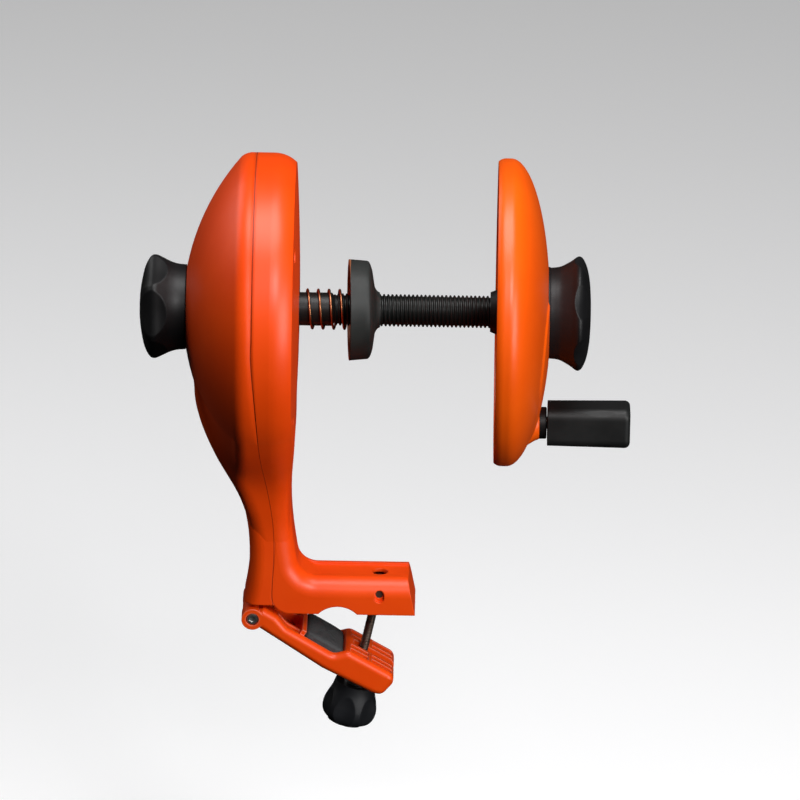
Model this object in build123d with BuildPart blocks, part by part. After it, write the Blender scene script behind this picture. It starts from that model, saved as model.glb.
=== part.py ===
"""Fishing line winder: a rod clamp carries a round housing, and a threaded spool shaft turns in it.

Millimetres, +Z up.  X runs along the shaft towards the crank disc, and X = 0 is the nose of the
spool cone, on the shaft line.  Y points away from the viewer of the picture.
"""

import os
from math import atan, cos, pi, radians, sin, sqrt, tan

from build123d import *

os.makedirs("parts", exist_ok=True)

# ------------------------------------------------------------------ clearances and walls
running = 0.05  # on the radius, of a shaft in its bush
sliding = 0.08  # on the radius, of a piece that slides on the shaft
move_gap = 0.3  # air between pieces that move past each other
wall = 2.6  # moulded walls of the housing

# ------------------------------------------------------------------ spool shaft
shaft_radius = 6.65
seat_relief = 0.2  # how much thinner the shaft is under the spool's bore
shaft_reach = 53.0  # from the cone's nose to the shaft's end, a few turns inside the knob's nut
shaft_chamfer = 1.0
journal_radius = 5.5  # where the shaft runs in the rear bush
stud_radius = 4.0  # threaded rear end for the drag knob
stud_flat = 3.2  # from the shaft line to each of the stud's two flats
stud_pitch = 1.25
clip_radius = 8.6
clip_thickness = 1.2

# ------------------------------------------------------------------ housing head
spring_room = 32.0  # from the housing's front face to the cone's nose
front_depth = 18.0  # front shell, from its face to the seam
dome_height = 28.4  # rear shell, from the seam to the top of its dome
dome_shoulder = 6.0  # edge of the dome, behind the seam
rim_radius = 62.0
face_crown = 1.9  # how far the front face falls back at its edge
edge_drop = 3.6  # rounding of the front edge, measured inwards
edge_length = 8.9  # and along the shaft
rim_behind = 1.5  # straight rim behind the seam
rim_fall = 1.7  # rounding into the dome, measured inwards
land_depth = 1.6  # flat round the shaft, cut into the top of the dome

front_x = -spring_room
seam_x = front_x - front_depth
apex_x = seam_x - dome_height
dome_rise = dome_height - dome_shoulder
dome_radius = (dome_rise**2 + (rim_radius - rim_fall) ** 2) / (2 * dome_rise)
dome_centre_x = apex_x + dome_radius
land_x = apex_x + land_depth

# ------------------------------------------------------------------ arm and upper jaw
arm_length = 111.4  # from the shaft line down to the top of the upper jaw
arm_top = 24.0  # where the arm starts, inside the head
arm_top_half_width = 23.0
neck_half_width = 17.5  # where the arm leaves the rim of the head
neck_run = 12.0  # from there down to the arm's straight sides
jaw_half_width = 14.0
jaw_height = 14.3
jaw_reach = 16.0  # end of the upper jaw, ahead of the cone's nose
jaw_end_slope = 3.0
jaw_rounding = 7.0  # long upper edges of arm and jaw
rear_rounding = 6.0
corner_radius = 8.5  # inside corner between arm and jaw
jaw_web = 2.4
groove_half_width = 6.8  # shallow groove between the two rails on top of the jaw
groove_depth = 1.0
groove_start = 10.0  # where it is at full depth, ahead of the arm's front
groove_rise = 8.0  # height over which it runs out, up the inside corner
channel_back = 20.0  # solid root of the jaw, ahead of the seam
notch_radius = 10.9  # half-round notch for the rod
notch_half_width = 7.8
notch_x = -15.1
web_hole_radius = 3.2
rear_shell_tail = 10.9  # rear shell's lower edge, below the top of the jaw

jaw_top_z = -arm_length
jaw_bottom_z = jaw_top_z - jaw_height

# ------------------------------------------------------------------ hinge of the lower jaw
hinge_x = -49.4
hinge_drop = 2.95  # hinge line below the underside of the upper jaw
knuckle_radius = 4.4
lug_radius = 4.2
lug_half_width = 6.0
lug_reach = 12.0  # where the lug runs into the heel of the upper jaw, ahead of the hinge
lug_rise = 7.5  # and above it
hinge_pin_radius = 1.6
pin_head_radius = 2.3
pin_head_height = 1.4
hinge_nut_flats = 5.5
hinge_nut_height = 2.0
hinge_z = jaw_bottom_z - hinge_drop

# ------------------------------------------------------------------ lower jaw, along and across itself
jaw_open_angle = 31.0  # below the horizontal, as it stands
lower_jaw_length = 63.6
lower_jaw_wall = 3.0
belly = 3.6  # lowest point of the jaw's underside below the hinge line
side_height = 3.9  # side walls beside the pad
nose_height = 9.2
belly_end = 35.0  # where the underside turns up towards the nose
nose_run = 6.1  # from the end of that straight to the tip
nose_lift = 1.4  # how far it rises on the way
rise_start = 35.0
rise_end = 40.5
floor_height = 0.0
cross_wall = 2.0
pad_start = 22.0
pad_end = 39.4
pad_height = 6.8
ear_end = 9.0
rib = 1.6
grid_middle = 49.5  # cross wall in the middle of the grid
grid_floor = 1.6
slot_start = 42.6
slot_half_width = 2.4
underside_rounding = 2.6

# ------------------------------------------------------------------ swing bolt and jaw knob
pivot_x = 1.6
pivot_drop = 5.9  # cross pin below the top of the upper jaw
bolt_lean = 12.0  # degrees from the vertical
bolt_radius = 1.8
bolt_end = 15.1  # past the washer, inside the knob
eye_radius = 3.2
eye_half_width = 2.4
cross_pin_radius = 1.5
pin_recess_radius = 1.9
pin_recess_run = 1.3  # upright slot, with the pin at its upper end
pin_recess_depth = 1.5
jaw_washer_radius = 4.6
jaw_washer_thickness = 2.0
jaw_neck_radius = 8.2
jaw_knob_radius = 11.0
jaw_knob_height = 18.1
jaw_nut_flats = 7.0
jaw_nut_height = 5.0
pivot_z = jaw_top_z - pivot_drop

# ------------------------------------------------------------------ spool cone and its spring
cone_radius = 20.2
cone_length = 12.3  # from the nose back to the cup's rim
cone_wall = 2.0
web_start = 2.5  # nose length in front of the cup's web
web_thickness = 2.5
wire_radius = 0.45
spring_radius = 7.75  # to the middle of the wire
spring_turns = 5.25
spring_bend = 1.4  # radius of the bend that turns the wire along the shaft
seat_radius = 9.2
seat_thickness = 1.0

# ------------------------------------------------------------------ winder disc
spool_room = 44.0  # between the cone's nose and the hub's tip, with no spool
disc_radius = 61.3
disc_dome = 16.4
disc_rim = 5.0  # straight rim behind the dome
disc_wall = 2.6
hub_proud = 2.3  # hub's tip in front of the rim
hub_tip_radius = 7.9
hub_root_radius = 9.1
hub_depth = 8.0
thread_clearance = 0.3
back_plate = 2.0
back_recess = 0.6
crank_radius = 46.9  # from the shaft line to the grip's pin
crank_boss_radius = 6.4
crank_boss_fall = 3.2  # end of the crank's boss, below the top of the dome
seat_fall = 0.8  # flat for the knob, below the top of the dome

# ------------------------------------------------------------------ clamp knob and drag knob
knob_washer = 0.7
clamp_knob_length = 16.4
clamp_neck_radius = 18.2
clamp_lobe_radius = 22.8
clamp_pitch = 1.65  # of the spool shaft's thread
clamp_nut_flats = 15.0
clamp_nut_height = 7.0
sleeve_radius = 10.5
drag_knob_length = 18.5
drag_neck_radius = 16.9
drag_lobe_radius = 20.8
drag_cavity_radius = 13.0
drag_nut_flats = 13.0
drag_nut_height = 5.0
friction_thickness = 1.2
plate_thickness = 1.4
plate_radius = 11.0
cup_spring_height = 1.2
cup_spring_metal = 0.8
thrust_thickness = 1.2

# ------------------------------------------------------------------ crank grip
collar_length = 2.9
collar_radius = 6.4
grip_length = 33.1
grip_start_height = 15.9
grip_end_height = 16.6
grip_rounding = 4.0
grip_facet_radius = 62.0
crank_pin_radius = 2.5
crank_head_radius = 4.2
crank_head_height = 2.5
crank_nut_flats = 8.0
crank_nut_height = 3.5
plug_length = 3.0

# ------------------------------------------------------------------ screws and bushes
screw_circle = 50.0
screw_angles = (45, 135, 225, 315)
screw_radius = 1.45
screw_hole_slack = 0.05
screw_head_radius = 2.8
screw_head_height = 1.8
screw_length = 22.0
screw_boss_radius = 3.8
head_recess_radius = 3.2
head_recess_depth = 2.4
front_bush_radius = 9.0
rear_bush_radius = 8.0
bush_flange = 1.5
bush_flange_radius = 11.0
bush_boss_radius = 12.5
front_bush_length = 13.0
rear_bush_length = 10.0


def dome_x(ball, radius):
    """Station of the dome's surface at a distance from the shaft line."""
    return dome_centre_x - sqrt(ball**2 - radius**2)


def head_form(inset):
    """Round head of the housing: crowned face, straight rim and dome, taken in by inset."""
    radius = rim_radius - inset
    ball = dome_radius - inset
    face = front_x - inset
    face_edge = (face - face_crown, radius - edge_drop)
    rim_front = (face - face_crown - edge_length, radius)
    rim_back = (seam_x - rim_behind, radius)
    shoulder = radius - rim_fall
    with BuildPart() as form:
        with BuildSketch(Plane.XY):
            with BuildLine():
                Line((dome_x(ball, 0), 0), (face, 0))
                ThreePointArc((face, 0), (face - face_crown / 4, face_edge[1] / 2), face_edge)
                TangentArc(rim_front, face_edge, tangent=(1, 0))
                Line(rim_front, rim_back)
                TangentArc(rim_back, (dome_x(ball, shoulder), shoulder), tangent=(-1, 0))
                ThreePointArc(
                    (dome_x(ball, shoulder), shoulder),
                    (dome_x(ball, shoulder / 2), shoulder / 2),
                    (dome_x(ball, 0), 0),
                )
            make_face()
        revolve(axis=Axis.X)
    return form.part


def seam_curve():
    """Seam between the two shells, seen from the side: straight on the head, curved down the arm."""
    return Spline(
        (seam_x, 8.0),
        (seam_x + 1.4, -17.0),
        (seam_x + 5.6, -65.4),
        (seam_x + 9.4, jaw_top_z + 16.4),
        (seam_x + 8.1, jaw_top_z - 6.2),
        tangents=((0, -1), (-0.06, -1)),
    )


def width_outline(inset):
    """Arm and jaw seen along the shaft: wide at the head and narrow at the clamp."""
    with BuildPart() as outline:
        with BuildSketch(Plane.YZ):
            with BuildLine():
                right = Spline(
                    (arm_top_half_width - inset, -arm_top),
                    (neck_half_width - inset, -rim_radius),
                    (jaw_half_width - inset, -rim_radius - neck_run),
                    tangents=((-0.1, -1), (0, -1)),
                )
                low = Line(right @ 1, (jaw_half_width - inset, jaw_bottom_z - 20))
                mirror(about=Plane.YZ)
                Line(right @ 0, (-(arm_top_half_width - inset), -arm_top))
                Line(low @ 1, (-(jaw_half_width - inset), jaw_bottom_z - 20))
            make_face()
        extrude(amount=200, both=True)
    return outline.part


def rear_arm():
    """Rear half of the arm, which flows out of the dome."""
    with BuildPart() as arm:
        with BuildSketch(Plane.XZ):
            with BuildLine():
                back = Spline(
                    (seam_x - 23.0, -arm_top),
                    (seam_x - 21.6, -38.6),
                    (seam_x - 14.4, -55.7),
                    (seam_x - 5.6, -74.1),
                    (seam_x - 1.6, jaw_top_z + 21.4),
                    (seam_x - 0.8, jaw_top_z + 8.4),
                    (seam_x - 2.9, jaw_top_z - rear_shell_tail),
                )
                Line(back @ 1, (seam_x + 14, jaw_top_z - rear_shell_tail))
                Line((seam_x + 14, jaw_top_z - rear_shell_tail), (seam_x + 14, -arm_top))
                Line((seam_x + 14, -arm_top), back @ 0)
            make_face()
        extrude(amount=arm_top_half_width, both=True)
        add(width_outline(0), mode=Mode.INTERSECT)
        long_edges = arm.edges().filter_by(
            lambda e: e.center().X < seam_x - 0.5
            and abs(e.center().Y) > 10
            and jaw_top_z - rear_shell_tail + 1 < e.center().Z < -arm_top - 5
        )
        fillet(long_edges, radius=rear_rounding)
    return arm.part


def front_arm():
    """Front half of the arm with the upper jaw, in one side outline."""
    with BuildPart() as arm:
        with BuildSketch(Plane.XZ):
            with BuildLine():
                top = (seam_x + 0.4, -arm_top)
                front = Spline(
                    (front_x - 1.4, -arm_top),
                    (front_x - 1.0, -50.0),
                    (front_x - 2.4, jaw_top_z + 31.4),
                    (front_x + 0.3, jaw_top_z + 7.0),
                    tangents=((0, -1), (0.17, -1)),
                )
                corner = TangentArc(
                    front @ 1,
                    (front_x + 8.6, jaw_top_z),
                    tangent=front % 1,
                )
                upper = Line(corner @ 1, (jaw_reach - jaw_end_slope, jaw_top_z))
                end = Line(upper @ 1, (jaw_reach, jaw_bottom_z))
                lower = Line(end @ 1, (seam_x + 15.0, jaw_bottom_z))
                heel = ThreePointArc(
                    lower @ 1,
                    (seam_x + 9.6, jaw_bottom_z + 3.2),
                    (seam_x + 8.1, jaw_top_z - 6.2),
                )
                Line(heel @ 1, (seam_x + 4, jaw_top_z + 20))
                Line((seam_x + 4, jaw_top_z + 20), top)
                Line(top, front @ 0)
            make_face()
        extrude(amount=arm_top_half_width, both=True)
        add(width_outline(0), mode=Mode.INTERSECT)
        long_edges = arm.edges().filter_by(
            lambda e: e.center().X > front_x - 4
            and e.center().X < jaw_reach - 3
            and abs(e.center().Y) > 10
            and jaw_bottom_z + 1 < e.center().Z < -arm_top - 1
        )
        fillet(long_edges, radius=jaw_rounding)
    return arm.part


def front_side():
    """Everything ahead of the seam, as one block that cuts the two shells apart."""
    with BuildPart() as block:
        with BuildSketch(Plane.XZ):
            with BuildLine():
                start = Line((seam_x, rim_radius + 5), (seam_x, 8.0))
                seam = seam_curve()
                heel = ThreePointArc(
                    seam @ 1,
                    (seam_x + 9.6, jaw_bottom_z + 3.2),
                    (seam_x + 15.0, jaw_bottom_z),
                )
                Line(heel @ 1, (jaw_reach + 10, jaw_bottom_z))
                Line((jaw_reach + 10, jaw_bottom_z), (jaw_reach + 10, rim_radius + 5))
                Line((jaw_reach + 10, rim_radius + 5), start @ 0)
            make_face()
        extrude(amount=rim_radius + 5, both=True)
    return block.part


def arm_hollow():
    """Hollow inside the arm, closed above the clamp."""
    with BuildPart() as hollow:
        with BuildSketch(Plane.XZ):
            with BuildLine():
                back = Spline(
                    (seam_x - 23.0 + wall, -arm_top),
                    (seam_x - 14.4 + 1.4 * wall, -55.7),
                    (seam_x - 5.6 + 1.2 * wall, -74.1),
                    (seam_x - 1.0 + wall, jaw_top_z + 8.4),
                )
                Line(back @ 1, (front_x - wall - 0.4, jaw_top_z + 8.4))
                front = Line(
                    (front_x - wall - 0.4, jaw_top_z + 8.4),
                    (front_x - wall - 2.4, jaw_top_z + 31.4),
                )
                Line(front @ 1, (front_x - wall - 1.6, -arm_top))
                Line((front_x - wall - 1.6, -arm_top), back @ 0)
            make_face()
        extrude(amount=arm_top_half_width, both=True)
        add(width_outline(wall + 0.6), mode=Mode.INTERSECT)
    return hollow.part


def screw_places(plane):
    """Places of the shell screws round the head."""
    return [
        plane * Location((screw_circle * cos(radians(a)), screw_circle * sin(radians(a)), 0))
        for a in screw_angles
    ]


def along_shaft(station):
    """Plane square to the shaft, with its normal towards the crank."""
    return Plane(origin=(station, 0, 0), x_dir=(0, 1, 0), z_dir=(1, 0, 0))


def across(x, z):
    """Plane square to the jaw pins, with its normal away from the viewer."""
    return Plane(origin=(x, 0, z), x_dir=(1, 0, 0), z_dir=(0, 1, 0))


def face_station(radius):
    """Station of the crowned front face at a distance from the shaft line."""
    edge = rim_radius - edge_drop
    ball = (edge**2 + face_crown**2) / (2 * face_crown)
    return front_x - (ball - sqrt(ball**2 - radius**2))


def export(name, builder):
    """Labels a finished piece and writes it."""
    builder.part.label = name
    export_step(builder.part, "parts/" + name + ".step")


# ================================================================== housing shells
front_half = front_side()
head_outer = head_form(0)
head_inner = head_form(wall)
hollow_arm = arm_hollow()
screw_face_x = face_station(screw_circle) - head_recess_depth

# Hollow inside both shells, which leaves bosses for the bushes and the screws.
with BuildPart() as cavity:
    add(head_inner)
    add(hollow_arm)
    with BuildSketch(along_shaft(front_x)):
        Circle(bush_boss_radius)
    extrude(amount=-seat_thickness - move_gap - front_bush_length, mode=Mode.SUBTRACT)
    with BuildSketch(along_shaft(apex_x)):
        Circle(bush_boss_radius)
    extrude(amount=land_depth + rear_bush_length, mode=Mode.SUBTRACT)
    for place in screw_places(along_shaft(seam_x)):
        with BuildSketch(Plane(place)):
            Circle(screw_boss_radius)
        extrude(amount=dome_height, both=True, mode=Mode.SUBTRACT)

# Front shell: face, rim, front half of the arm and the upper jaw, moulded in one.
with BuildPart() as front_shell:
    add(head_outer)
    add(front_arm())
    add(cavity.part, mode=Mode.SUBTRACT)
    add(front_half, mode=Mode.INTERSECT)
    # Groove on top of the jaw, which runs out up the inside corner.
    with BuildSketch(Plane.XZ):
        with BuildLine():
            floor_z = jaw_top_z - groove_depth
            floor = Line((jaw_reach + 1, floor_z), (front_x + groove_start, floor_z))
            rise = TangentArc(floor @ 1, (front_x + 1, jaw_top_z + groove_rise), tangent=(-1, 0))
            Line(rise @ 1, (jaw_reach + 1, jaw_top_z + groove_rise))
            Line((jaw_reach + 1, jaw_top_z + groove_rise), floor @ 0)
        make_face()
    extrude(amount=groove_half_width, both=True, mode=Mode.SUBTRACT)
    # Channel of the upper jaw, open downwards.
    with BuildSketch(Plane.XY.offset(jaw_bottom_z)):
        with Locations(((seam_x + channel_back + jaw_reach - wall) / 2, 0)):
            Rectangle(jaw_reach - wall - seam_x - channel_back, 2 * (jaw_half_width - wall))
    extrude(amount=jaw_height - jaw_web, mode=Mode.SUBTRACT, taper=4)
    # Half-round notch for the rod in both side walls, and the hole over the swing bolt.
    notch_z = jaw_bottom_z - sqrt(notch_radius**2 - notch_half_width**2)
    with BuildSketch(across(notch_x, notch_z)):
        Circle(notch_radius)
    extrude(amount=2 * jaw_half_width, both=True, mode=Mode.SUBTRACT)
    with BuildSketch(Plane.XY.offset(jaw_top_z + 1)):
        with Locations((pivot_x, 0)):
            Circle(web_hole_radius)
    extrude(amount=-jaw_web - 4, mode=Mode.SUBTRACT)
    # Lug that carries the lower jaw's hinge.
    with BuildSketch(across(hinge_x, hinge_z)):
        Circle(lug_radius)
        with BuildLine():
            Polyline(
                (0, -lug_radius),
                (lug_reach - 3.8, 1.9 - lug_rise),
                (lug_reach, -lug_rise),
                (lug_reach + 5.0, 3.3 - lug_rise),
                (lug_radius - 0.3, 0.3),
                (0, 0),
                close=True,
            )
        make_face()
    extrude(amount=lug_half_width, both=True)
    with BuildSketch(across(hinge_x, hinge_z)):
        Circle(hinge_pin_radius)
    extrude(amount=2 * lug_half_width, both=True, mode=Mode.SUBTRACT)
    # Seat and recesses of the cross pin.
    with BuildSketch(across(pivot_x, pivot_z)):
        Circle(cross_pin_radius)
    extrude(amount=2 * jaw_half_width, both=True, mode=Mode.SUBTRACT)
    for side in (-1, 1):
        with BuildSketch(across(pivot_x, pivot_z).offset(side * (jaw_half_width - pin_recess_depth))):
            with Locations((0, pin_recess_run / 2)):
                SlotCenterToCenter(pin_recess_run, 2 * pin_recess_radius, rotation=90)
        extrude(amount=side * 5, mode=Mode.SUBTRACT)
    # Bore for the bush, recess for the spring's seat, and the screw holes.
    with BuildSketch(along_shaft(front_x + 1)):
        Circle(front_bush_radius)
    extrude(amount=-front_bush_length - 4, mode=Mode.SUBTRACT)
    with BuildSketch(along_shaft(front_x + 1)):
        Circle(seat_radius + move_gap)
    extrude(amount=-1 - seat_thickness - move_gap, mode=Mode.SUBTRACT)
    for place in screw_places(along_shaft(screw_face_x)):
        with BuildSketch(Plane(place)):
            Circle(screw_radius + screw_hole_slack)
        extrude(amount=-front_depth, mode=Mode.SUBTRACT)
        with BuildSketch(Plane(place)):
            Circle(head_recess_radius)
        extrude(amount=10, mode=Mode.SUBTRACT)
export("front_shell", front_shell)

# Rear shell: dome and rear half of the arm.
with BuildPart() as rear_shell:
    add(head_outer)
    add(rear_arm())
    add(cavity.part, mode=Mode.SUBTRACT)
    add(front_half, mode=Mode.SUBTRACT)
    # Flat land round the shaft, and the bores.
    with BuildSketch(along_shaft(land_x)):
        Circle(rim_radius)
    extrude(amount=-land_depth - 5, mode=Mode.SUBTRACT)
    with BuildSketch(along_shaft(land_x)):
        Circle(rear_bush_radius)
    extrude(amount=2 * rear_bush_length, mode=Mode.SUBTRACT)
    for place in screw_places(along_shaft(screw_face_x)):
        with BuildSketch(Plane(place)):
            Circle(screw_radius + screw_hole_slack)
        extrude(amount=-screw_length - move_gap, mode=Mode.SUBTRACT)
export("rear_shell", rear_shell)


# ================================================================== what holds the housing together
bush_start = front_x - seat_thickness - move_gap

# Shell screws, in from the front face.
with BuildPart() as shell_screws:
    for place in screw_places(along_shaft(screw_face_x)):
        with BuildSketch(Plane(place)):
            Circle(screw_head_radius)
        extrude(amount=screw_head_height)
        with BuildSketch(Plane(place)):
            Circle(screw_radius)
        extrude(amount=-screw_length)
export("shell_screws", shell_screws)

# Front bush: flanged behind the face, bored for the shaft.
with BuildPart() as front_bush:
    with BuildSketch(along_shaft(bush_start)):
        Circle(front_bush_radius)
    extrude(amount=-front_bush_length)
    with BuildSketch(along_shaft(bush_start - front_bush_length)):
        Circle(bush_flange_radius)
    extrude(amount=-bush_flange)
    with BuildSketch(along_shaft(bush_start)):
        Circle(shaft_radius + running)
    extrude(amount=-2 * front_bush_length, mode=Mode.SUBTRACT)
export("front_bush", front_bush)

# Rear bush: flanged inside the dome, bored for the thinner journal.
rear_bush_start = land_x
rear_flange_x = land_x + rear_bush_length
with BuildPart() as rear_bush:
    with BuildSketch(along_shaft(rear_bush_start)):
        Circle(rear_bush_radius)
    extrude(amount=rear_bush_length)
    with BuildSketch(along_shaft(rear_flange_x)):
        Circle(bush_flange_radius)
    extrude(amount=bush_flange)
    with BuildSketch(along_shaft(rear_bush_start)):
        Circle(journal_radius + running)
    extrude(amount=2 * rear_bush_length, mode=Mode.SUBTRACT)
export("rear_bush", rear_bush)

# Friction washer: fibre ring that lies on the land of the dome.
with BuildPart() as friction_washer:
    with BuildSketch(along_shaft(land_x)):
        Circle(plate_radius)
        Circle(journal_radius + move_gap, mode=Mode.SUBTRACT)
    extrude(amount=-friction_thickness)
export("friction_washer", friction_washer)

# ================================================================== spool shaft and drag
shoulder_x = rear_flange_x + bush_flange + move_gap
clip_x = bush_start - front_bush_length - bush_flange - move_gap
plate_x = land_x - friction_thickness - move_gap / 2
spring_stack = 2 * cup_spring_height
thrust_x = plate_x - plate_thickness - spring_stack
drag_nut_x = thrust_x - thrust_thickness
drag_end_x = land_x - move_gap - drag_knob_length
stud_end_x = drag_nut_x - drag_nut_height - 4.0


def stud_profile(slack):
    """Cross-section of the stud: a circle with two flats, opened by slack."""
    Circle(stud_radius + slack)
    Rectangle(3 * stud_radius, 2 * (stud_flat + slack), mode=Mode.INTERSECT)


with BuildPart() as spool_shaft:
    with BuildSketch(along_shaft(shoulder_x)):
        Circle(shaft_radius)
    extrude(amount=-shoulder_x)
    with BuildSketch(along_shaft(0)):
        Circle(shaft_radius - seat_relief)
    extrude(amount=spool_room)
    with BuildSketch(along_shaft(spool_room)):
        Circle(shaft_radius)
    extrude(amount=shaft_reach - spool_room)
    chamfer(spool_shaft.faces().sort_by(Axis.X)[-1].edges(), length=shaft_chamfer)
    with BuildSketch(along_shaft(shoulder_x)):
        Circle(journal_radius)
    extrude(amount=land_x - friction_thickness - shoulder_x)
    with BuildSketch(along_shaft(land_x - friction_thickness)):
        stud_profile(0)
    extrude(amount=stud_end_x - land_x + friction_thickness)
    # Groove for the clip behind the front bush.
    with BuildSketch(along_shaft(clip_x)):
        Circle(shaft_radius + 1)
        Circle(shaft_radius - 0.8, mode=Mode.SUBTRACT)
    extrude(amount=-clip_thickness, mode=Mode.SUBTRACT)
export("spool_shaft", spool_shaft)

# Clip: open spring ring in the shaft's groove.
with BuildPart() as shaft_clip:
    with BuildSketch(along_shaft(clip_x)):
        Circle(clip_radius)
        Circle(shaft_radius - 0.8, mode=Mode.SUBTRACT)
        with Locations((0, clip_radius)):
            Rectangle(4.0, clip_radius, mode=Mode.SUBTRACT)
    extrude(amount=-clip_thickness)
export("shaft_clip", shaft_clip)

# Pressure plate: steel, keyed on the stud's flats, rubs on the friction washer.
with BuildPart() as pressure_plate:
    with BuildSketch(along_shaft(plate_x)):
        Circle(plate_radius)
    extrude(amount=-plate_thickness)
    with BuildSketch(along_shaft(plate_x)):
        stud_profile(0)
    extrude(amount=-plate_thickness, mode=Mode.SUBTRACT)
export("pressure_plate", pressure_plate)

# Cup springs: two dished washers, back to back, between the plate and the thrust washer.
with BuildPart() as cup_springs:
    for turn in (0, 1):
        near = plate_x - plate_thickness - turn * spring_stack
        way = -1 if turn == 0 else 1
        with BuildSketch(Plane.XY):
            with BuildLine():
                Polyline(
                    (near, plate_radius - 2),
                    (near + way * cup_spring_metal, plate_radius - 2),
                    (near + way * cup_spring_height, stud_radius + 0.6),
                    (near + way * (cup_spring_height - cup_spring_metal), stud_radius + 0.6),
                    close=True,
                )
            make_face()
        revolve(axis=Axis.X)
export("cup_springs", cup_springs)

# Thrust washer: keyed on the stud, pushed along it by the drag knob.
with BuildPart() as thrust_washer:
    with BuildSketch(along_shaft(thrust_x)):
        Circle(plate_radius - 1)
    extrude(amount=-thrust_thickness)
    with BuildSketch(along_shaft(thrust_x)):
        stud_profile(running)
    extrude(amount=-thrust_thickness, mode=Mode.SUBTRACT)
export("thrust_washer", thrust_washer)

# Drag knob: flared and lobed, hollow over the washers.
drag_mouth_x = land_x - move_gap
with BuildPart() as drag_knob:
    with BuildSketch(Plane.XY):
        with BuildLine():
            flare = Spline(
                (drag_mouth_x, drag_neck_radius),
                (drag_mouth_x - 7.0, drag_neck_radius + 1.1),
                (drag_mouth_x - 12.6, drag_lobe_radius),
                tangents=((-1, 0.02), (-1, 0.25)),
            )
            crown = Spline(
                flare @ 1,
                (drag_end_x + 2.2, drag_neck_radius),
                (drag_end_x, 0),
                tangents=((-1, 0.1), (0, -1)),
            )
            Line(crown @ 1, (drag_mouth_x, 0))
            Line((drag_mouth_x, 0), flare @ 0)
        make_face()
    revolve(axis=Axis.X)
    with Locations(along_shaft(drag_mouth_x - 14.6)):
        with PolarLocations(drag_lobe_radius + 23.6, 6, start_angle=18):
            Sphere(26.0, mode=Mode.SUBTRACT)
    with BuildSketch(along_shaft(drag_mouth_x)):
        Circle(drag_cavity_radius)
    extrude(amount=drag_nut_x - drag_mouth_x, mode=Mode.SUBTRACT)
    with BuildSketch(along_shaft(drag_nut_x)):
        RegularPolygon(drag_nut_flats / 2, 6, major_radius=False)
    extrude(amount=-drag_nut_height, mode=Mode.SUBTRACT)
    with BuildSketch(along_shaft(drag_nut_x)):
        Circle(stud_radius + move_gap)
    extrude(amount=stud_end_x - drag_nut_x - 1.0, mode=Mode.SUBTRACT)
export("drag_knob", drag_knob)

# Nut moulded into the drag knob.
with BuildPart() as drag_knob_nut:
    with BuildSketch(along_shaft(drag_nut_x)):
        RegularPolygon(drag_nut_flats / 2, 6, major_radius=False)
        Circle(stud_radius + running, mode=Mode.SUBTRACT)
    extrude(amount=-drag_nut_height)
export("drag_knob_nut", drag_knob_nut)

# ================================================================== spool cone and its spring
# Seat of the spring: washer pressed on the shaft, flush with the housing's face.
with BuildPart() as spring_seat:
    with BuildSketch(along_shaft(front_x)):
        Circle(seat_radius)
        Circle(shaft_radius, mode=Mode.SUBTRACT)
    extrude(amount=-seat_thickness)
export("spring_seat", spring_seat)

web_x = -web_start - web_thickness


def coil_point(turn, start, pitch):
    """Point of the spring's centre line after so many turns."""
    angle = 2 * pi * turn
    return Vector(start + pitch * turn, spring_radius * cos(angle), spring_radius * sin(angle))


def coil_tangent(turn, pitch):
    """Direction of the spring's centre line after so many turns."""
    angle = 2 * pi * turn
    rise = pitch / (2 * pi)
    return Vector(rise, -spring_radius * sin(angle), spring_radius * cos(angle)).normalized()


def bend_arcs(start, start_way, end, end_way):
    """Two arcs that leave start and reach end in the given directions, meeting tangent."""
    chord = end - start
    both = start_way + end_way
    spread = 2 * (1 - start_way.dot(end_way))
    along = chord.dot(both)
    reach = (-along + sqrt(along**2 + spread * chord.dot(chord))) / spread
    first = start + start_way * reach
    last = end - end_way * reach
    middle = (first + last) * 0.5
    TangentArc(start, middle, tangent=start_way)
    TangentArc(middle, end, tangent=(last - first).normalized())


straight = 2 * wire_radius
coil_start = front_x + straight + spring_bend
coil_end = web_x - straight - spring_bend
coil_pitch = (coil_end - coil_start) / spring_turns
quarters = int(round(4 * spring_turns))
with BuildPart() as cone_spring:
    with BuildLine() as wire_path:
        first_way = coil_tangent(0, coil_pitch)
        first_point = coil_point(0, coil_start, coil_pitch)
        axial = Vector(1, 0, 0)
        run_in = first_point - first_way * spring_bend - axial * spring_bend
        Line((front_x, run_in.Y, run_in.Z), run_in)
        bend_arcs(run_in, axial, first_point, first_way)
        for quarter in range(quarters):
            turn = quarter / 4
            bend_arcs(
                coil_point(turn, coil_start, coil_pitch),
                coil_tangent(turn, coil_pitch),
                coil_point(turn + 0.25, coil_start, coil_pitch),
                coil_tangent(turn + 0.25, coil_pitch),
            )
        last_way = coil_tangent(spring_turns, coil_pitch)
        last_point = coil_point(spring_turns, coil_start, coil_pitch)
        run_out = last_point + last_way * spring_bend + axial * spring_bend
        bend_arcs(last_point, last_way, run_out, axial)
        Line(run_out, (web_x, run_out.Y, run_out.Z))
    with BuildSketch(Plane(origin=(front_x, run_in.Y, run_in.Z), z_dir=(1, 0, 0))):
        Circle(wire_radius)
    sweep(path=wire_path.wire())
wire_line = wire_path.wire()
steps = 300
apart = int(0.75 * steps / spring_turns)
marks = [wire_line @ (step / steps) for step in range(steps + 1)]
least = min(
    (marks[far] - marks[near]).length
    for near in range(steps - apart)
    for far in range(near + apart, steps + 1)
)
full_volume = pi * wire_radius**2 * wire_line.length
print("spring: pitch", round(coil_pitch, 2), "length of wire", round(wire_line.length, 1))
print("spring: least gap between coils", round(least - 2 * wire_radius, 2))
print("spring: volume over that of the straight wire", round(cone_spring.part.volume / full_volume, 4))
export("cone_spring", cone_spring)

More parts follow.
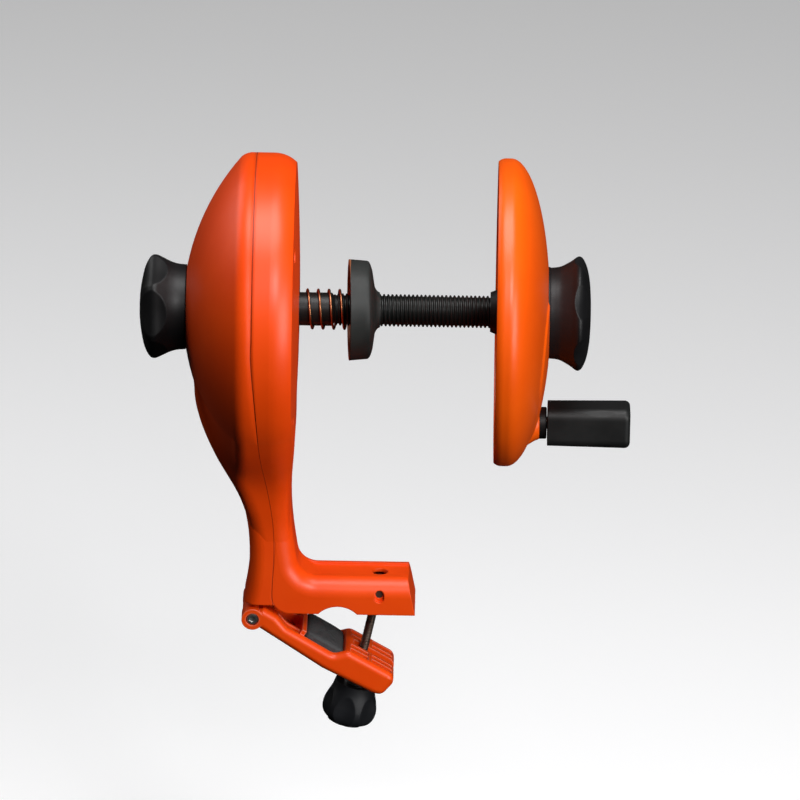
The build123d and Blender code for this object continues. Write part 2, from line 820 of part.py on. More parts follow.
# Spool cone: black cup, hollow side to the housing, whose nose centres the spool.
with BuildPart() as spool_cone:
    with BuildSketch(Plane.XY):
        with BuildLine():
            nose = Line((0, 0), (0, shaft_radius + 0.3))
            flank = Spline(
                nose @ 1,
                (-1.0, 7.6),
                (-2.1, 9.6),
                tangents=((-0.8, 0.4), (-0.3, 1)),
            )
            front_line = Line(flank @ 1, (-web_start - 0.3, cone_radius * 0.7))
            shoulder = Spline(
                front_line @ 1,
                (-web_start - 1.2, cone_radius - 2.3),
                (-web_start - 2.6, cone_radius - 0.6),
                tangents=((-0.1, 1), (-1, 0.35)),
            )
            rim_side = Line(shoulder @ 1, (-cone_length, cone_radius))
            Line(rim_side @ 1, (-cone_length, 0))
            Line((-cone_length, 0), (0, 0))
        make_face()
    revolve(axis=Axis.X)
    with BuildSketch(along_shaft(web_x)):
        Circle(cone_radius - cone_wall)
    extrude(amount=-cone_length, mode=Mode.SUBTRACT)
    with BuildSketch(along_shaft(1)):
        Circle(shaft_radius + sliding)
    extrude(amount=-cone_length - 2, mode=Mode.SUBTRACT)
export("spool_cone", spool_cone)

# ================================================================== winder disc
rim_face_x = spool_room + hub_proud
dome_base_x = rim_face_x + disc_rim
disc_top_x = dome_base_x + disc_dome
knob_seat_x = disc_top_x - seat_fall
boss_end_x = disc_top_x - crank_boss_fall
clamp_mouth_x = knob_seat_x + knob_washer + running
clamp_end_x = clamp_mouth_x + clamp_knob_length
clamp_bore_end = clamp_end_x - wall / 2
back_plate_top = rim_face_x + back_recess + back_plate
sleeve_end_x = back_plate_top + move_gap
knob_clip_x = sleeve_end_x + 1.0
post_start_x = knob_clip_x + clip_thickness + running


def crank_plane(station):
    """Plane square to the crank pin."""
    return Plane(origin=(station, 0, -crank_radius), x_dir=(0, 1, 0), z_dir=(1, 0, 0))


def dish(thinner, start_x):
    """Domed disc as a solid of revolution, taken in by the wall."""
    radius = disc_radius - thinner
    with BuildPart() as form:
        with BuildSketch(Plane.XY):
            with BuildLine():
                Line((start_x, 0), (start_x, radius - 1.2))
                TangentArc((start_x + 3.0, radius), (start_x, radius - 1.2), tangent=(-1, 0))
                Line((start_x + 3.0, radius), (dome_base_x, radius))
                EllipticalCenterArc((dome_base_x, 0), disc_dome - thinner, radius, arc_size=90)
                Line((dome_base_x + disc_dome - thinner, 0), (start_x, 0))
            make_face()
        revolve(axis=Axis.X)
    return form.part


# Winder disc: orange dished shell with a boss for the crank and a sleeve for the knob.
with BuildPart() as winder_disc:
    add(dish(0, rim_face_x))
    with BuildSketch(crank_plane(rim_face_x + disc_rim)):
        Circle(crank_boss_radius)
    extrude(amount=boss_end_x - rim_face_x - disc_rim)
    # Flat seat for the knob at the top of the dome.
    with BuildSketch(along_shaft(knob_seat_x)):
        Circle(disc_radius / 2)
    extrude(amount=seat_fall + 2, mode=Mode.SUBTRACT)
    add(dish(disc_wall, rim_face_x - 4), mode=Mode.SUBTRACT)
    # Round posts inside, for the knob's sleeve and for the crank pin.
    with BuildSketch(along_shaft(post_start_x)):
        Circle(sleeve_radius + wall)
    extrude(amount=knob_seat_x - post_start_x)
    with BuildSketch(crank_plane(back_plate_top)):
        Circle(crank_boss_radius)
    extrude(amount=boss_end_x - back_plate_top)
    # Bores for the knob's sleeve, the crank pin and its nut.
    with BuildSketch(along_shaft(rim_face_x)):
        Circle(sleeve_radius + running)
    extrude(amount=disc_dome + disc_rim, mode=Mode.SUBTRACT)
    with BuildSketch(crank_plane(rim_face_x)):
        Circle(crank_pin_radius)
    extrude(amount=disc_dome + disc_rim, mode=Mode.SUBTRACT)
    with BuildSketch(crank_plane(back_plate_top)):
        RegularPolygon(crank_nut_flats / 2, 6, major_radius=False)
    extrude(amount=crank_nut_height, mode=Mode.SUBTRACT)
export("winder_disc", winder_disc)

# Back plate: closes the dish just inside its rim.
with BuildPart() as disc_back:
    with BuildSketch(along_shaft(rim_face_x + back_recess)):
        Circle(disc_radius - disc_wall - 1.0)
        Circle(hub_root_radius, mode=Mode.SUBTRACT)
    extrude(amount=back_plate)
export("disc_back", disc_back)

# Hub: black cone that centres the spool's bore, fixed in the back plate and free on the shaft.
with BuildPart() as disc_hub:
    with BuildSketch(Plane.XY):
        with BuildLine():
            Polyline(
                (spool_room, 0),
                (spool_room, hub_tip_radius),
                (rim_face_x + back_recess, hub_root_radius),
                (rim_face_x + back_recess + back_plate, hub_root_radius),
                (rim_face_x + back_recess + back_plate, 0),
                close=True,
            )
        make_face()
    revolve(axis=Axis.X)
    with BuildSketch(along_shaft(spool_room)):
        Circle(shaft_radius + thread_clearance)
    extrude(amount=2 * hub_depth, mode=Mode.SUBTRACT)
export("disc_hub", disc_hub)

# Washer between disc and knob.
with BuildPart() as knob_washer_ring:
    with BuildSketch(along_shaft(knob_seat_x)):
        Circle(clamp_neck_radius + 0.2)
        Circle(sleeve_radius + move_gap, mode=Mode.SUBTRACT)
    extrude(amount=knob_washer)
export("knob_washer", knob_washer_ring)

# Clamp knob: flared and lobed like the drag knob, with a sleeve that turns in the disc.
with BuildPart() as clamp_knob:
    with BuildSketch(Plane.XY):
        with BuildLine():
            flare = Spline(
                (clamp_mouth_x, clamp_neck_radius),
                (clamp_mouth_x + 3.3, clamp_neck_radius + 0.5),
                (clamp_mouth_x + 7.1, clamp_neck_radius + 2.5),
                (clamp_mouth_x + 10.0, clamp_lobe_radius),
                tangents=((1, 0.02), (1, 0.35)),
            )
            crown = Spline(
                flare @ 1,
                (clamp_end_x - 1.5, clamp_neck_radius - 3.0),
                (clamp_end_x, 0),
                tangents=((1, 0.1), (0, -1)),
            )
            Line(crown @ 1, (clamp_mouth_x, 0))
            Line((clamp_mouth_x, 0), flare @ 0)
        make_face()
    revolve(axis=Axis.X)
    with Locations(along_shaft(clamp_mouth_x + 12.0)):
        with PolarLocations(clamp_lobe_radius + 38.0, 6, start_angle=0):
            Sphere(40.0, mode=Mode.SUBTRACT)
    with BuildSketch(along_shaft(clamp_mouth_x)):
        Circle(sleeve_radius)
    extrude(amount=sleeve_end_x - clamp_mouth_x)
    with BuildSketch(along_shaft(sleeve_end_x)):
        Circle(shaft_radius + thread_clearance)
    extrude(amount=clamp_bore_end - sleeve_end_x, mode=Mode.SUBTRACT)
    with BuildSketch(along_shaft(sleeve_end_x)):
        RegularPolygon(clamp_nut_flats / 2, 6, major_radius=False)
    extrude(amount=clamp_nut_height, mode=Mode.SUBTRACT)
    # Groove for the clip at the end of the sleeve.
    with BuildSketch(along_shaft(knob_clip_x)):
        Circle(sleeve_radius + 1)
        Circle(sleeve_radius - 0.8, mode=Mode.SUBTRACT)
    extrude(amount=clip_thickness, mode=Mode.SUBTRACT)
export("clamp_knob", clamp_knob)

# Clip that keeps the knob's sleeve in the disc.
with BuildPart() as knob_clip:
    with BuildSketch(along_shaft(knob_clip_x)):
        Circle(sleeve_radius + 1.8)
        Circle(sleeve_radius - 0.8, mode=Mode.SUBTRACT)
        with Locations((0, sleeve_radius)):
            Rectangle(5.0, sleeve_radius, mode=Mode.SUBTRACT)
    extrude(amount=clip_thickness)
export("knob_clip", knob_clip)

# Nut moulded into the end of the knob's sleeve, on the shaft's thread.
with BuildPart() as clamp_knob_nut:
    with BuildSketch(along_shaft(sleeve_end_x)):
        RegularPolygon(clamp_nut_flats / 2, 6, major_radius=False)
        Circle(shaft_radius + running, mode=Mode.SUBTRACT)
    extrude(amount=clamp_nut_height)
export("clamp_knob_nut", clamp_knob_nut)

# ================================================================== crank
grip_start_x = boss_end_x + collar_length + move_gap
grip_end_x = grip_start_x + grip_length
crank_head_x = grip_end_x - plug_length - move_gap

# Collar between the disc's boss and the grip.
with BuildPart() as crank_collar:
    with BuildSketch(crank_plane(boss_end_x)):
        Circle(collar_radius)
        Circle(crank_pin_radius, mode=Mode.SUBTRACT)
    extrude(amount=collar_length)
    fillet(crank_collar.faces().sort_by(Axis.X)[-1].edges().sort_by(SortBy.LENGTH)[-1], radius=0.6)
export("crank_collar", crank_collar)

# Crank pin: shoulder screw through the disc's boss, with its head inside the grip.
with BuildPart() as crank_pin:
    with BuildSketch(crank_plane(back_plate_top)):
        Circle(crank_pin_radius)
    extrude(amount=crank_head_x - back_plate_top)
    with BuildSketch(crank_plane(crank_head_x)):
        Circle(crank_head_radius)
    extrude(amount=-crank_head_height)
export("crank_pin", crank_pin)

# Nut of the crank pin, in the hexagon behind the boss.
with BuildPart() as crank_nut:
    with BuildSketch(crank_plane(back_plate_top)):
        RegularPolygon(crank_nut_flats / 2, 6, major_radius=False)
        Circle(crank_pin_radius, mode=Mode.SUBTRACT)
    extrude(amount=crank_nut_height)
export("crank_nut", crank_nut)

# Crank grip: square bar with soft edges and long finger facets, free on its pin.
with BuildPart() as crank_grip:
    with BuildSketch(crank_plane(grip_start_x)):
        RectangleRounded(grip_start_height, grip_start_height, grip_rounding)
    with BuildSketch(crank_plane(grip_end_x)):
        RectangleRounded(grip_end_height, grip_end_height, grip_rounding)
    loft()
    end_face = crank_grip.faces().sort_by(Axis.X)[-1]
    fillet(end_face.edges(), radius=2.2)
    with Locations(crank_plane(grip_start_x + 0.62 * grip_length)):
        with PolarLocations(grip_facet_radius + 0.58 * grip_end_height, 4, start_angle=45):
            Sphere(grip_facet_radius, mode=Mode.SUBTRACT)
    with BuildSketch(crank_plane(grip_start_x)):
        Circle(crank_pin_radius + running)
    extrude(amount=grip_length, mode=Mode.SUBTRACT)
    with BuildSketch(crank_plane(grip_end_x)):
        Circle(crank_head_radius + move_gap)
    extrude(amount=-plug_length - crank_head_height - 2 * move_gap, mode=Mode.SUBTRACT)
export("crank_grip", crank_grip)

# Plug over the screw head in the grip's end.
with BuildPart() as grip_plug:
    with BuildSketch(crank_plane(grip_end_x)):
        Circle(crank_head_radius + move_gap)
    extrude(amount=-plug_length)
export("grip_plug", grip_plug)

# ================================================================== lower jaw
jaw_plane = Plane(
    origin=(hinge_x, 0, hinge_z),
    x_dir=(cos(radians(jaw_open_angle)), 0, -sin(radians(jaw_open_angle))),
    z_dir=(0, -1, 0),
)
inner_half = jaw_half_width - lower_jaw_wall
ear_inside = lug_half_width + move_gap
hinge_plane = across(hinge_x, hinge_z)
nut_recess_depth = hinge_nut_height + 2 * move_gap
head_recess = pin_head_height + 2 * move_gap


def jaw_block(from_u, to_u, from_y, to_y, floor, top):
    """Box in the lower jaw's own frame, repeated on the other side of its middle plane."""
    with BuildPart() as block:
        with BuildSketch(jaw_plane.offset(from_y)):
            Polygon((from_u, floor), (to_u, floor), (to_u, top), (from_u, top), align=None)
        extrude(amount=to_y - from_y)
        mirror(about=Plane.XZ)
    return block.part


# Lower jaw: orange channel, hinged at the rear, ribbed inside and forked at the nose.
with BuildPart() as lower_jaw:
    with BuildSketch(jaw_plane):
        with BuildLine():
            FilletPolyline(
                (0, -1.9),
                (belly_end, -belly),
                (lower_jaw_length - nose_run, -belly + nose_lift),
                (lower_jaw_length - 1.8, -belly + nose_lift + 1.0),
                (lower_jaw_length, nose_height),
                (rise_end, nose_height - 0.6),
                (rise_start + 1, side_height),
                (14.0, side_height),
                (8.0, 6.0),
                (1.6, 6.0),
                (0, 4.0),
                radius=(0, 0, 2.5, 3.5, 3.8, 4.0, 4.0, 4.0, 2.5, 1.0, 0),
                close=True,
            )
        make_face()
        Circle(knuckle_radius)
    extrude(amount=jaw_half_width, both=True)
    under_edges = lower_jaw.edges().filter_by(
        lambda e: abs(abs(e.center().Y) - jaw_half_width) < 0.1
        and jaw_plane.to_local_coords(e.center()).Y < -2.0
        and jaw_plane.to_local_coords(e.center()).X > 6.0
    )
    fillet(under_edges, radius=underside_rounding)
    # Cross wall that stands above the side walls behind the pad.
    add(jaw_block(pad_start - cross_wall, pad_start, 0, inner_half, floor_height, pad_height - 0.8))
    # Fork, seen from above: rounded tips and the slot for the bolt.
    with BuildSketch(Plane(jaw_plane.origin, x_dir=jaw_plane.x_dir, z_dir=jaw_plane.y_dir)) as plan:
        with Locations((lower_jaw_length / 2 - 5, 0)):
            RectangleRounded(lower_jaw_length + 10, 2 * jaw_half_width, 4.5)
        with Locations((slot_start + lower_jaw_length / 2, 0)):
            Rectangle(lower_jaw_length, 2 * slot_half_width, mode=Mode.SUBTRACT)
        mouth = plan.vertices().filter_by(
            lambda v: v.X > lower_jaw_length - 1 and abs(v.Y) < slot_half_width + 0.1
        )
        fillet(mouth, radius=1.8)
    extrude(amount=30, both=True, mode=Mode.INTERSECT)
    # Room for the housing's lug, then the pockets from the hinge to the nose.
    with BuildSketch(hinge_plane):
        Circle(knuckle_radius + move_gap)
    extrude(amount=ear_inside, both=True, mode=Mode.SUBTRACT)
    rear_end = pad_start - cross_wall
    add(jaw_block(-8, rear_end, 0, ear_inside, floor_height, 9), mode=Mode.SUBTRACT)
    add(jaw_block(ear_end, rear_end, ear_inside + rib, inner_half, floor_height, 9), mode=Mode.SUBTRACT)
    add(jaw_block(pad_start, pad_end, 0, inner_half, floor_height, 12), mode=Mode.SUBTRACT)
    grid_start = pad_end + cross_wall
    grid_end = lower_jaw_length - 3.0
    for start, end in ((grid_start, grid_middle), (grid_middle + rib, grid_end)):
        add(jaw_block(start, end, slot_half_width + rib, 6.4, grid_floor, 12), mode=Mode.SUBTRACT)
        add(jaw_block(start, end, 6.4 + rib, inner_half, grid_floor, 12), mode=Mode.SUBTRACT)
    # Bore of the hinge in both ears, with recesses for the pin's head and its nut.
    with BuildSketch(hinge_plane):
        Circle(hinge_pin_radius + running)
    extrude(amount=2 * jaw_half_width, both=True, mode=Mode.SUBTRACT)
    with BuildSketch(hinge_plane.offset(-jaw_half_width + head_recess)):
        Circle(pin_head_radius + move_gap)
    extrude(amount=-5, mode=Mode.SUBTRACT)
    with BuildSketch(hinge_plane.offset(jaw_half_width - nut_recess_depth)):
        Circle(hinge_nut_flats / sqrt(3) + move_gap)
    extrude(amount=5, mode=Mode.SUBTRACT)
export("lower_jaw", lower_jaw)

# Rubber pad between the cross walls, under the rod.
with BuildPart() as jaw_pad:
    add(jaw_block(pad_start, pad_end, 0, inner_half, floor_height, pad_height))
export("jaw_pad", jaw_pad)

# Hinge pin: cap screw through both ears, tight in the lug.
with BuildPart() as hinge_pin:
    with BuildSketch(hinge_plane.offset(-jaw_half_width + head_recess - move_gap)):
        Circle(pin_head_radius)
    extrude(amount=-pin_head_height)
    with BuildSketch(hinge_plane.offset(-jaw_half_width + head_recess - move_gap)):
        Circle(hinge_pin_radius)
    extrude(amount=2 * jaw_half_width - head_recess)
export("hinge_pin", hinge_pin)

# Nut on the far end of the hinge pin.
with BuildPart() as hinge_nut:
    with BuildSketch(hinge_plane.offset(jaw_half_width - nut_recess_depth + move_gap)):
        RegularPolygon(hinge_nut_flats / 2, 6, major_radius=False)
        Circle(hinge_pin_radius, mode=Mode.SUBTRACT)
    extrude(amount=hinge_nut_height)
export("hinge_nut", hinge_nut)

# ================================================================== swing bolt and jaw knob
pivot_plane = across(pivot_x, pivot_z)
bolt_way = Vector(-sin(radians(bolt_lean)), 0, -cos(radians(bolt_lean)))
# The washer seats where the bolt's line leaves the underside of the fork, clear of its slope.
pivot_local = jaw_plane.to_local_coords(Vector(pivot_x, 0, pivot_z))
bolt_tilt = radians(jaw_open_angle - bolt_lean)
under_slope = nose_lift / (lower_jaw_length - nose_run - belly_end)
under_gap = pivot_local.Y + belly - under_slope * (pivot_local.X - belly_end)
under_cross = under_gap / (cos(bolt_tilt) + under_slope * sin(bolt_tilt))
washer_seat = under_cross + jaw_washer_radius * tan(bolt_tilt - atan(under_slope)) + move_gap
bolt_length = washer_seat + jaw_washer_thickness + bolt_end


def down_bolt(distance):
    """Plane square to the swing bolt, at a distance below the cross pin."""
    origin = Vector(pivot_x, 0, pivot_z) + bolt_way * distance
    return Plane(origin=origin, x_dir=(0, 1, 0), z_dir=bolt_way)


# Cross pin: held in both side walls of the upper jaw.
with BuildPart() as cross_pin:
    with BuildSketch(pivot_plane):
        Circle(cross_pin_radius)
    extrude(amount=jaw_half_width - pin_recess_depth, both=True)
export("cross_pin", cross_pin)

# Swing bolt: threaded rod with an eye round the cross pin.
with BuildPart() as swing_bolt:
    with BuildSketch(pivot_plane):
        Circle(eye_radius)
    extrude(amount=eye_half_width, both=True)
    with BuildSketch(down_bolt(0)):
        Circle(bolt_radius)
    extrude(amount=bolt_length)
    with BuildSketch(pivot_plane):
        Circle(cross_pin_radius + running)
    extrude(amount=2 * eye_half_width, both=True, mode=Mode.SUBTRACT)
export("swing_bolt", swing_bolt)

# Washer between the jaw's fork and the jaw knob.
with BuildPart() as jaw_washer:
    with BuildSketch(down_bolt(washer_seat)):
        Circle(jaw_washer_radius)
        Circle(bolt_radius + sliding, mode=Mode.SUBTRACT)
    extrude(amount=jaw_washer_thickness)
export("jaw_washer", jaw_washer)

# Jaw knob: lobed like the others, bored through so that the bolt can pass.
knob_top = washer_seat + jaw_washer_thickness
knob_side = Plane(
    origin=down_bolt(knob_top).origin,
    x_dir=(cos(radians(bolt_lean)), 0, -sin(radians(bolt_lean))),
    z_dir=(0, 1, 0),
)
with BuildPart() as jaw_knob:
    with BuildSketch(knob_side):
        with BuildLine():
            neck = Line((0, 0), (jaw_neck_radius, 0))
            flank = Spline(
                neck @ 1,
                (jaw_neck_radius + 1.2, 4.0),
                (jaw_knob_radius, 10.0),
                (jaw_knob_radius - 1.5, 15.4),
                (jaw_knob_radius - 5.0, jaw_knob_height),
                tangents=((0.2, 1), (-1, 0.12)),
            )
            Line(flank @ 1, (0, jaw_knob_height))
            Line((0, jaw_knob_height), (0, 0))
        make_face()
    revolve(axis=Axis(down_bolt(0).origin, bolt_way))
    with Locations(down_bolt(knob_top + 9.0)):
        with PolarLocations(jaw_knob_radius + 16.9, 6, start_angle=0):
            Sphere(18.0, mode=Mode.SUBTRACT)
    with BuildSketch(down_bolt(knob_top)):
        Circle(bolt_radius + move_gap)
    extrude(amount=jaw_knob_height, mode=Mode.SUBTRACT)
    with BuildSketch(down_bolt(knob_top)):
        RegularPolygon(jaw_nut_flats / 2, 6, major_radius=False)
    extrude(amount=jaw_nut_height, mode=Mode.SUBTRACT)
export("jaw_knob", jaw_knob)

# Nut moulded into the jaw knob.
with BuildPart() as jaw_knob_nut:
    with BuildSketch(down_bolt(knob_top)):
        RegularPolygon(jaw_nut_flats / 2, 6, major_radius=False)
        Circle(bolt_radius + running, mode=Mode.SUBTRACT)
    extrude(amount=jaw_nut_height)
export("jaw_knob_nut", jaw_knob_nut)
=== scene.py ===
"""Looks of the fishing line winder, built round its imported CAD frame.

The sections follow the object as it is put together, from the housing to the clamp.  Lengths in
the sections are millimetres and become metres where a mesh is made.  X runs along the spool
shaft, with X = 0 at the nose of the spool cone, and +Z is up.
"""

import math

import bmesh
import bpy
import numpy as np
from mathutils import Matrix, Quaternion, Vector


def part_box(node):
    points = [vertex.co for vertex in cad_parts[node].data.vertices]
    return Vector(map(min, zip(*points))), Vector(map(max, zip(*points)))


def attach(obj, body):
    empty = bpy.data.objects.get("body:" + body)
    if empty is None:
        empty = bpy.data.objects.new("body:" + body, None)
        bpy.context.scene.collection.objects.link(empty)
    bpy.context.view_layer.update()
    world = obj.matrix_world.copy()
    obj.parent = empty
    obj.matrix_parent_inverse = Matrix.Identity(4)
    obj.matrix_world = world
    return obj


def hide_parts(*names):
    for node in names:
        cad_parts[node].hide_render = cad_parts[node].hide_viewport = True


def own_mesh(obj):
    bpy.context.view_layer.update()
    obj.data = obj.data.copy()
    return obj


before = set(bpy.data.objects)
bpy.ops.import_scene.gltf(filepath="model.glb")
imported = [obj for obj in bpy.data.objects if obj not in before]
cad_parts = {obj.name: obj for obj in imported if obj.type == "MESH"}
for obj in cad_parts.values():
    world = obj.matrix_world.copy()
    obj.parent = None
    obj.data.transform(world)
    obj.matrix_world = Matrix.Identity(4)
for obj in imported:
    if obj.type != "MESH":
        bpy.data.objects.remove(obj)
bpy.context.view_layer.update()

# ---------------------------------------------------------------- camera, floor and studio light
# A long lens looks at the winder from its side and 21 degrees above the shaft, over a pale floor.
# Two soft lights stand to the right of the camera, one hangs above, and a weak one comes from the
# left rear; the surround is brighter above and to the right than below and to the left.
look_at = np.array([8.6, 0.0, -38.2]) * 0.001
elevation, swing, roll = math.radians(21), math.radians(-0.3), math.radians(0.9)
distance = 3.2
backward = np.array(
    [
        -math.sin(swing) * math.cos(elevation),
        -math.cos(swing) * math.cos(elevation),
        math.sin(elevation),
    ]
)
camera_data = bpy.data.cameras.new("camera")
camera_data.lens = 360
camera_data.sensor_width = 36
camera = bpy.data.objects.new("camera", camera_data)
camera.location = look_at + backward * distance
aim = Vector(-backward).to_track_quat("-Z", "Y") @ Quaternion((0, 0, 1), roll)
camera.rotation_euler = aim.to_euler()
bpy.context.scene.collection.objects.link(camera)
bpy.context.scene.camera = camera


def add_light(name, place, towards, size, power):
    """Square soft light at a place, turned towards a point."""
    data = bpy.data.lights.new(name, "AREA")
    data.shape, data.size, data.energy = "SQUARE", size, power
    lamp = bpy.data.objects.new(name, data)
    lamp.location = place
    lamp.rotation_euler = (Vector(towards) - Vector(place)).to_track_quat("-Z", "Y").to_euler()
    bpy.context.scene.collection.objects.link(lamp)


add_light("key_light", (0.50, -1.35, 1.05), (0, 0, -0.05), 0.5, 16)
add_light("side_light", (1.10, -1.00, 0.15), (0.05, 0, -0.04), 0.8, 13)
add_light("top_light", (0.10, -0.15, 1.10), (0, 0, 0), 0.7, 12)
add_light("rear_light", (-1.0, 0.5, 0.7), (-0.03, 0, -0.02), 0.9, 5)
surround = bpy.data.worlds.new("surround")
surround.use_nodes = True
bpy.context.scene.world = surround
bpy.context.scene.view_settings.view_transform = "Standard"


class Value:
    """Output of a shader node that can be used in sums: each sum adds its Math node."""

    def __init__(self, tree, socket):
        self.tree, self.socket = tree, socket

    def _math(self, operation, first, second):
        node = self.tree.nodes.new("ShaderNodeMath")
        node.operation = operation
        for place, number in enumerate((first, second)):
            if isinstance(number, Value):
                self.tree.links.new(number.socket, node.inputs[place])
            else:
                node.inputs[place].default_value = number
        return Value(self.tree, node.outputs[0])

    def __add__(self, other):
        return self._math("ADD", self, other)

    def __radd__(self, other):
        return self._math("ADD", other, self)

    def __sub__(self, other):
        return self._math("SUBTRACT", self, other)

    def __rsub__(self, other):
        return self._math("SUBTRACT", other, self)

    def __mul__(self, other):
        return self._math("MULTIPLY", self, other)

    def __rmul__(self, other):
        return self._math("MULTIPLY", other, self)


class Shading:
    """A node tree with its shader, and short ways to add nodes in front of the shader."""

    def __init__(self, tree, shader):
        self.tree, self.shader = tree, tree.nodes[shader]

    def node(self, kind, settings=None, output=0, **sockets):
        """Adds a node and returns one of its outputs.

        The settings come first, then the values or links of its sockets: a socket goes by its
        name, with _ for a space, or by its number after an i.
        """
        node = self.tree.nodes.new(kind)
        for key, value in (settings or {}).items():
            setattr(node, key, value)
        for name, value in sockets.items():
            numbered = name[0] == "i" and name[1:].isdigit()
            socket = node.inputs[int(name[1:]) if numbered else name.replace("_", " ")]
            if isinstance(value, Value):
                self.tree.links.new(value.socket, socket)
            else:
                socket.default_value = value
        return Value(self.tree, node.outputs[output])

    def ramp(self, value, low, high):
        """Straight slope from 0 at low to 1 at high, held between."""
        return self.node(
            "ShaderNodeMapRange", Value=value, From_Min=low, From_Max=high, To_Min=0.0, To_Max=1.0
        )

    def blend(self, mask, first, second):
        """Colour between first and second, as the mask goes from 0 to 1."""
        return self.node(
            "ShaderNodeMix", {"data_type": "RGBA"}, output=2, i0=mask, i6=first, i7=second
        )

    def feed(self, **links):
        """Joins worked-out colours or numbers to the shader."""
        for name, value in links.items():
            self.tree.links.new(value.socket, self.shader.inputs[name.replace("_", " ")])
        return self

    def clamp(self, value, low, high):
        """The value, held between two numbers."""
        return self.node("ShaderNodeClamp", Value=value, Min=low, Max=high)


class Finish(Shading):
    """One material: a Principled shader, with its steady values set on the shader's sockets."""

    def __init__(self, name, **steady):
        self.material = bpy.data.materials.new(name)
        self.material.use_nodes = True
        super().__init__(self.material.node_tree, "Principled BSDF")
        for socket, value in steady.items():
            title = socket.replace("_", " ").title().replace("Ior", "IOR")
            self.shader.inputs[title].default_value = value
        self.place = self.node("ShaderNodeTexCoord", output="Object")

    def noise(self, scale, detail=2.0, roughness=0.5):
        """Soft noise over the piece, in cells per metre."""
        return self.node(
            "ShaderNodeTexNoise", Vector=self.place, Scale=scale, Detail=detail,
            Roughness=roughness,
        )

    def split(self, way):
        """One coordinate of the place on the piece: 0, 1 and 2 for X, Y and Z, in metres."""
        return self.node("ShaderNodeSeparateXYZ", output=way, Vector=self.place)

    def tint(self, mask, colour):
        """Lays a colour over the base colour where the mask is 1."""
        below = Value(self.tree, self.shader.inputs["Base Color"].links[0].from_socket)
        return self.feed(Base_Color=self.blend(mask, below, colour))

    def edges(self, radius):
        """0 on open faces, rising towards edges as the rounded normal leaves the true one."""
        bent = self.node("ShaderNodeBevel", {"samples": 6}, Radius=radius)
        true = self.node("ShaderNodeNewGeometry", output="Normal")
        product = {"operation": "DOT_PRODUCT"}
        return 1 - self.node("ShaderNodeVectorMath", product, "Value", i0=bent, i1=true)

    def bump(self, height, strength, depth, edge=0.0):
        """Small relief of the surface, depth in metres, over edges rounded to a radius."""
        relief = {"Strength": strength, "Distance": depth, "Height": height}
        if edge:
            relief["Normal"] = self.node("ShaderNodeBevel", {"samples": 6}, Radius=edge)
        return self.feed(Normal=self.node("ShaderNodeBump", **relief))


sky = Shading(surround.node_tree, "Background")
ray = sky.node("ShaderNodeTexCoord", output="Generated")
rise, right = (sky.node("ShaderNodeSeparateXYZ", output=way, Vector=ray) for way in (2, 0))
sky.feed(Strength=sky.clamp(0.24 + 0.10 * rise + 0.10 * right, 0.05, 1.0))
floor_finish = Finish("studio_floor", base_color=(0.83, 0.83, 0.84, 1), roughness=0.75)
floor_finish.shader.inputs["Emission Color"].default_value = (1, 1, 1, 1)
floor_finish.shader.inputs["Emission Strength"].default_value = 0.22
floor_tone = floor_finish.ramp(floor_finish.noise(1.2, 1.0), 0.3, 0.7)
floor_finish.feed(
    Base_Color=floor_finish.blend(floor_tone, (0.82, 0.82, 0.83, 1), (0.85, 0.85, 0.855, 1))
)
floor_mesh = bpy.data.meshes.new("studio_floor")
reach, level = 6, -0.32
corners = [(x * reach, y * reach, level) for x, y in ((-1, -1), (1, -1), (1, 1), (-1, 1))]
floor_mesh.from_pydata(corners, [], [(0, 1, 2, 3)])
floor_mesh.materials.append(floor_finish.material)
studio_floor = bpy.data.objects.new("studio_floor", floor_mesh)
studio_floor.visible_diffuse = studio_floor.visible_glossy = False
bpy.context.scene.collection.objects.link(studio_floor)

# ---------------------------------------------------------------- orange housing: the two shells
# Round head with an arm that runs down to the clamp: two satin ABS mouldings that meet at a thin
# dark seam, with fine grain and softly rounded edges.


def build_piece(name, points, faces, body, slot, finish, replaces=(), sharp=35.0):
    """Mesh from points in millimetres and faces, welded, smooth except at sharp edges."""
    mesh = bpy.data.meshes.new(name)
    metres = np.asarray(points, float).reshape(-1, 3) * 0.001
    mesh.from_pydata(metres.tolist(), [], list(faces))
    shape = bmesh.new()
    shape.from_mesh(mesh)
    bmesh.ops.remove_doubles(shape, verts=shape.verts, dist=2e-6)
    bmesh.ops.dissolve_degenerate(shape, edges=shape.edges, dist=1e-7)
    bmesh.ops.recalc_face_normals(shape, faces=shape.faces)
    shape.to_mesh(mesh)
    shape.free()
    mesh.polygons.foreach_set("use_smooth", [True] * len(mesh.polygons))
    mesh.set_sharp_from_angle(angle=math.radians(sharp))
    mesh.materials.append(finish.material)
    piece = bpy.data.objects.new(name, mesh)
    bpy.context.scene.collection.objects.link(piece)
    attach(piece, body)
    if replaces:
        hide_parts(*replaces)
    return piece


def grid(rows, columns, ring_rows=False, ring_columns=False):
    """Four-sided faces between the points of a grid; a ring closes that way of the grid."""
    row = np.arange(rows if ring_rows else rows - 1)
    column = np.arange(columns if ring_columns else columns - 1)
    a, b = np.meshgrid(row, column, indexing="ij")
    c, d = (a + 1) % rows, (b + 1) % columns
    faces = np.stack([a * columns + b, c * columns + b, c * columns + d, a * columns + d], -1)
    return faces.reshape(-1, 4).tolist()


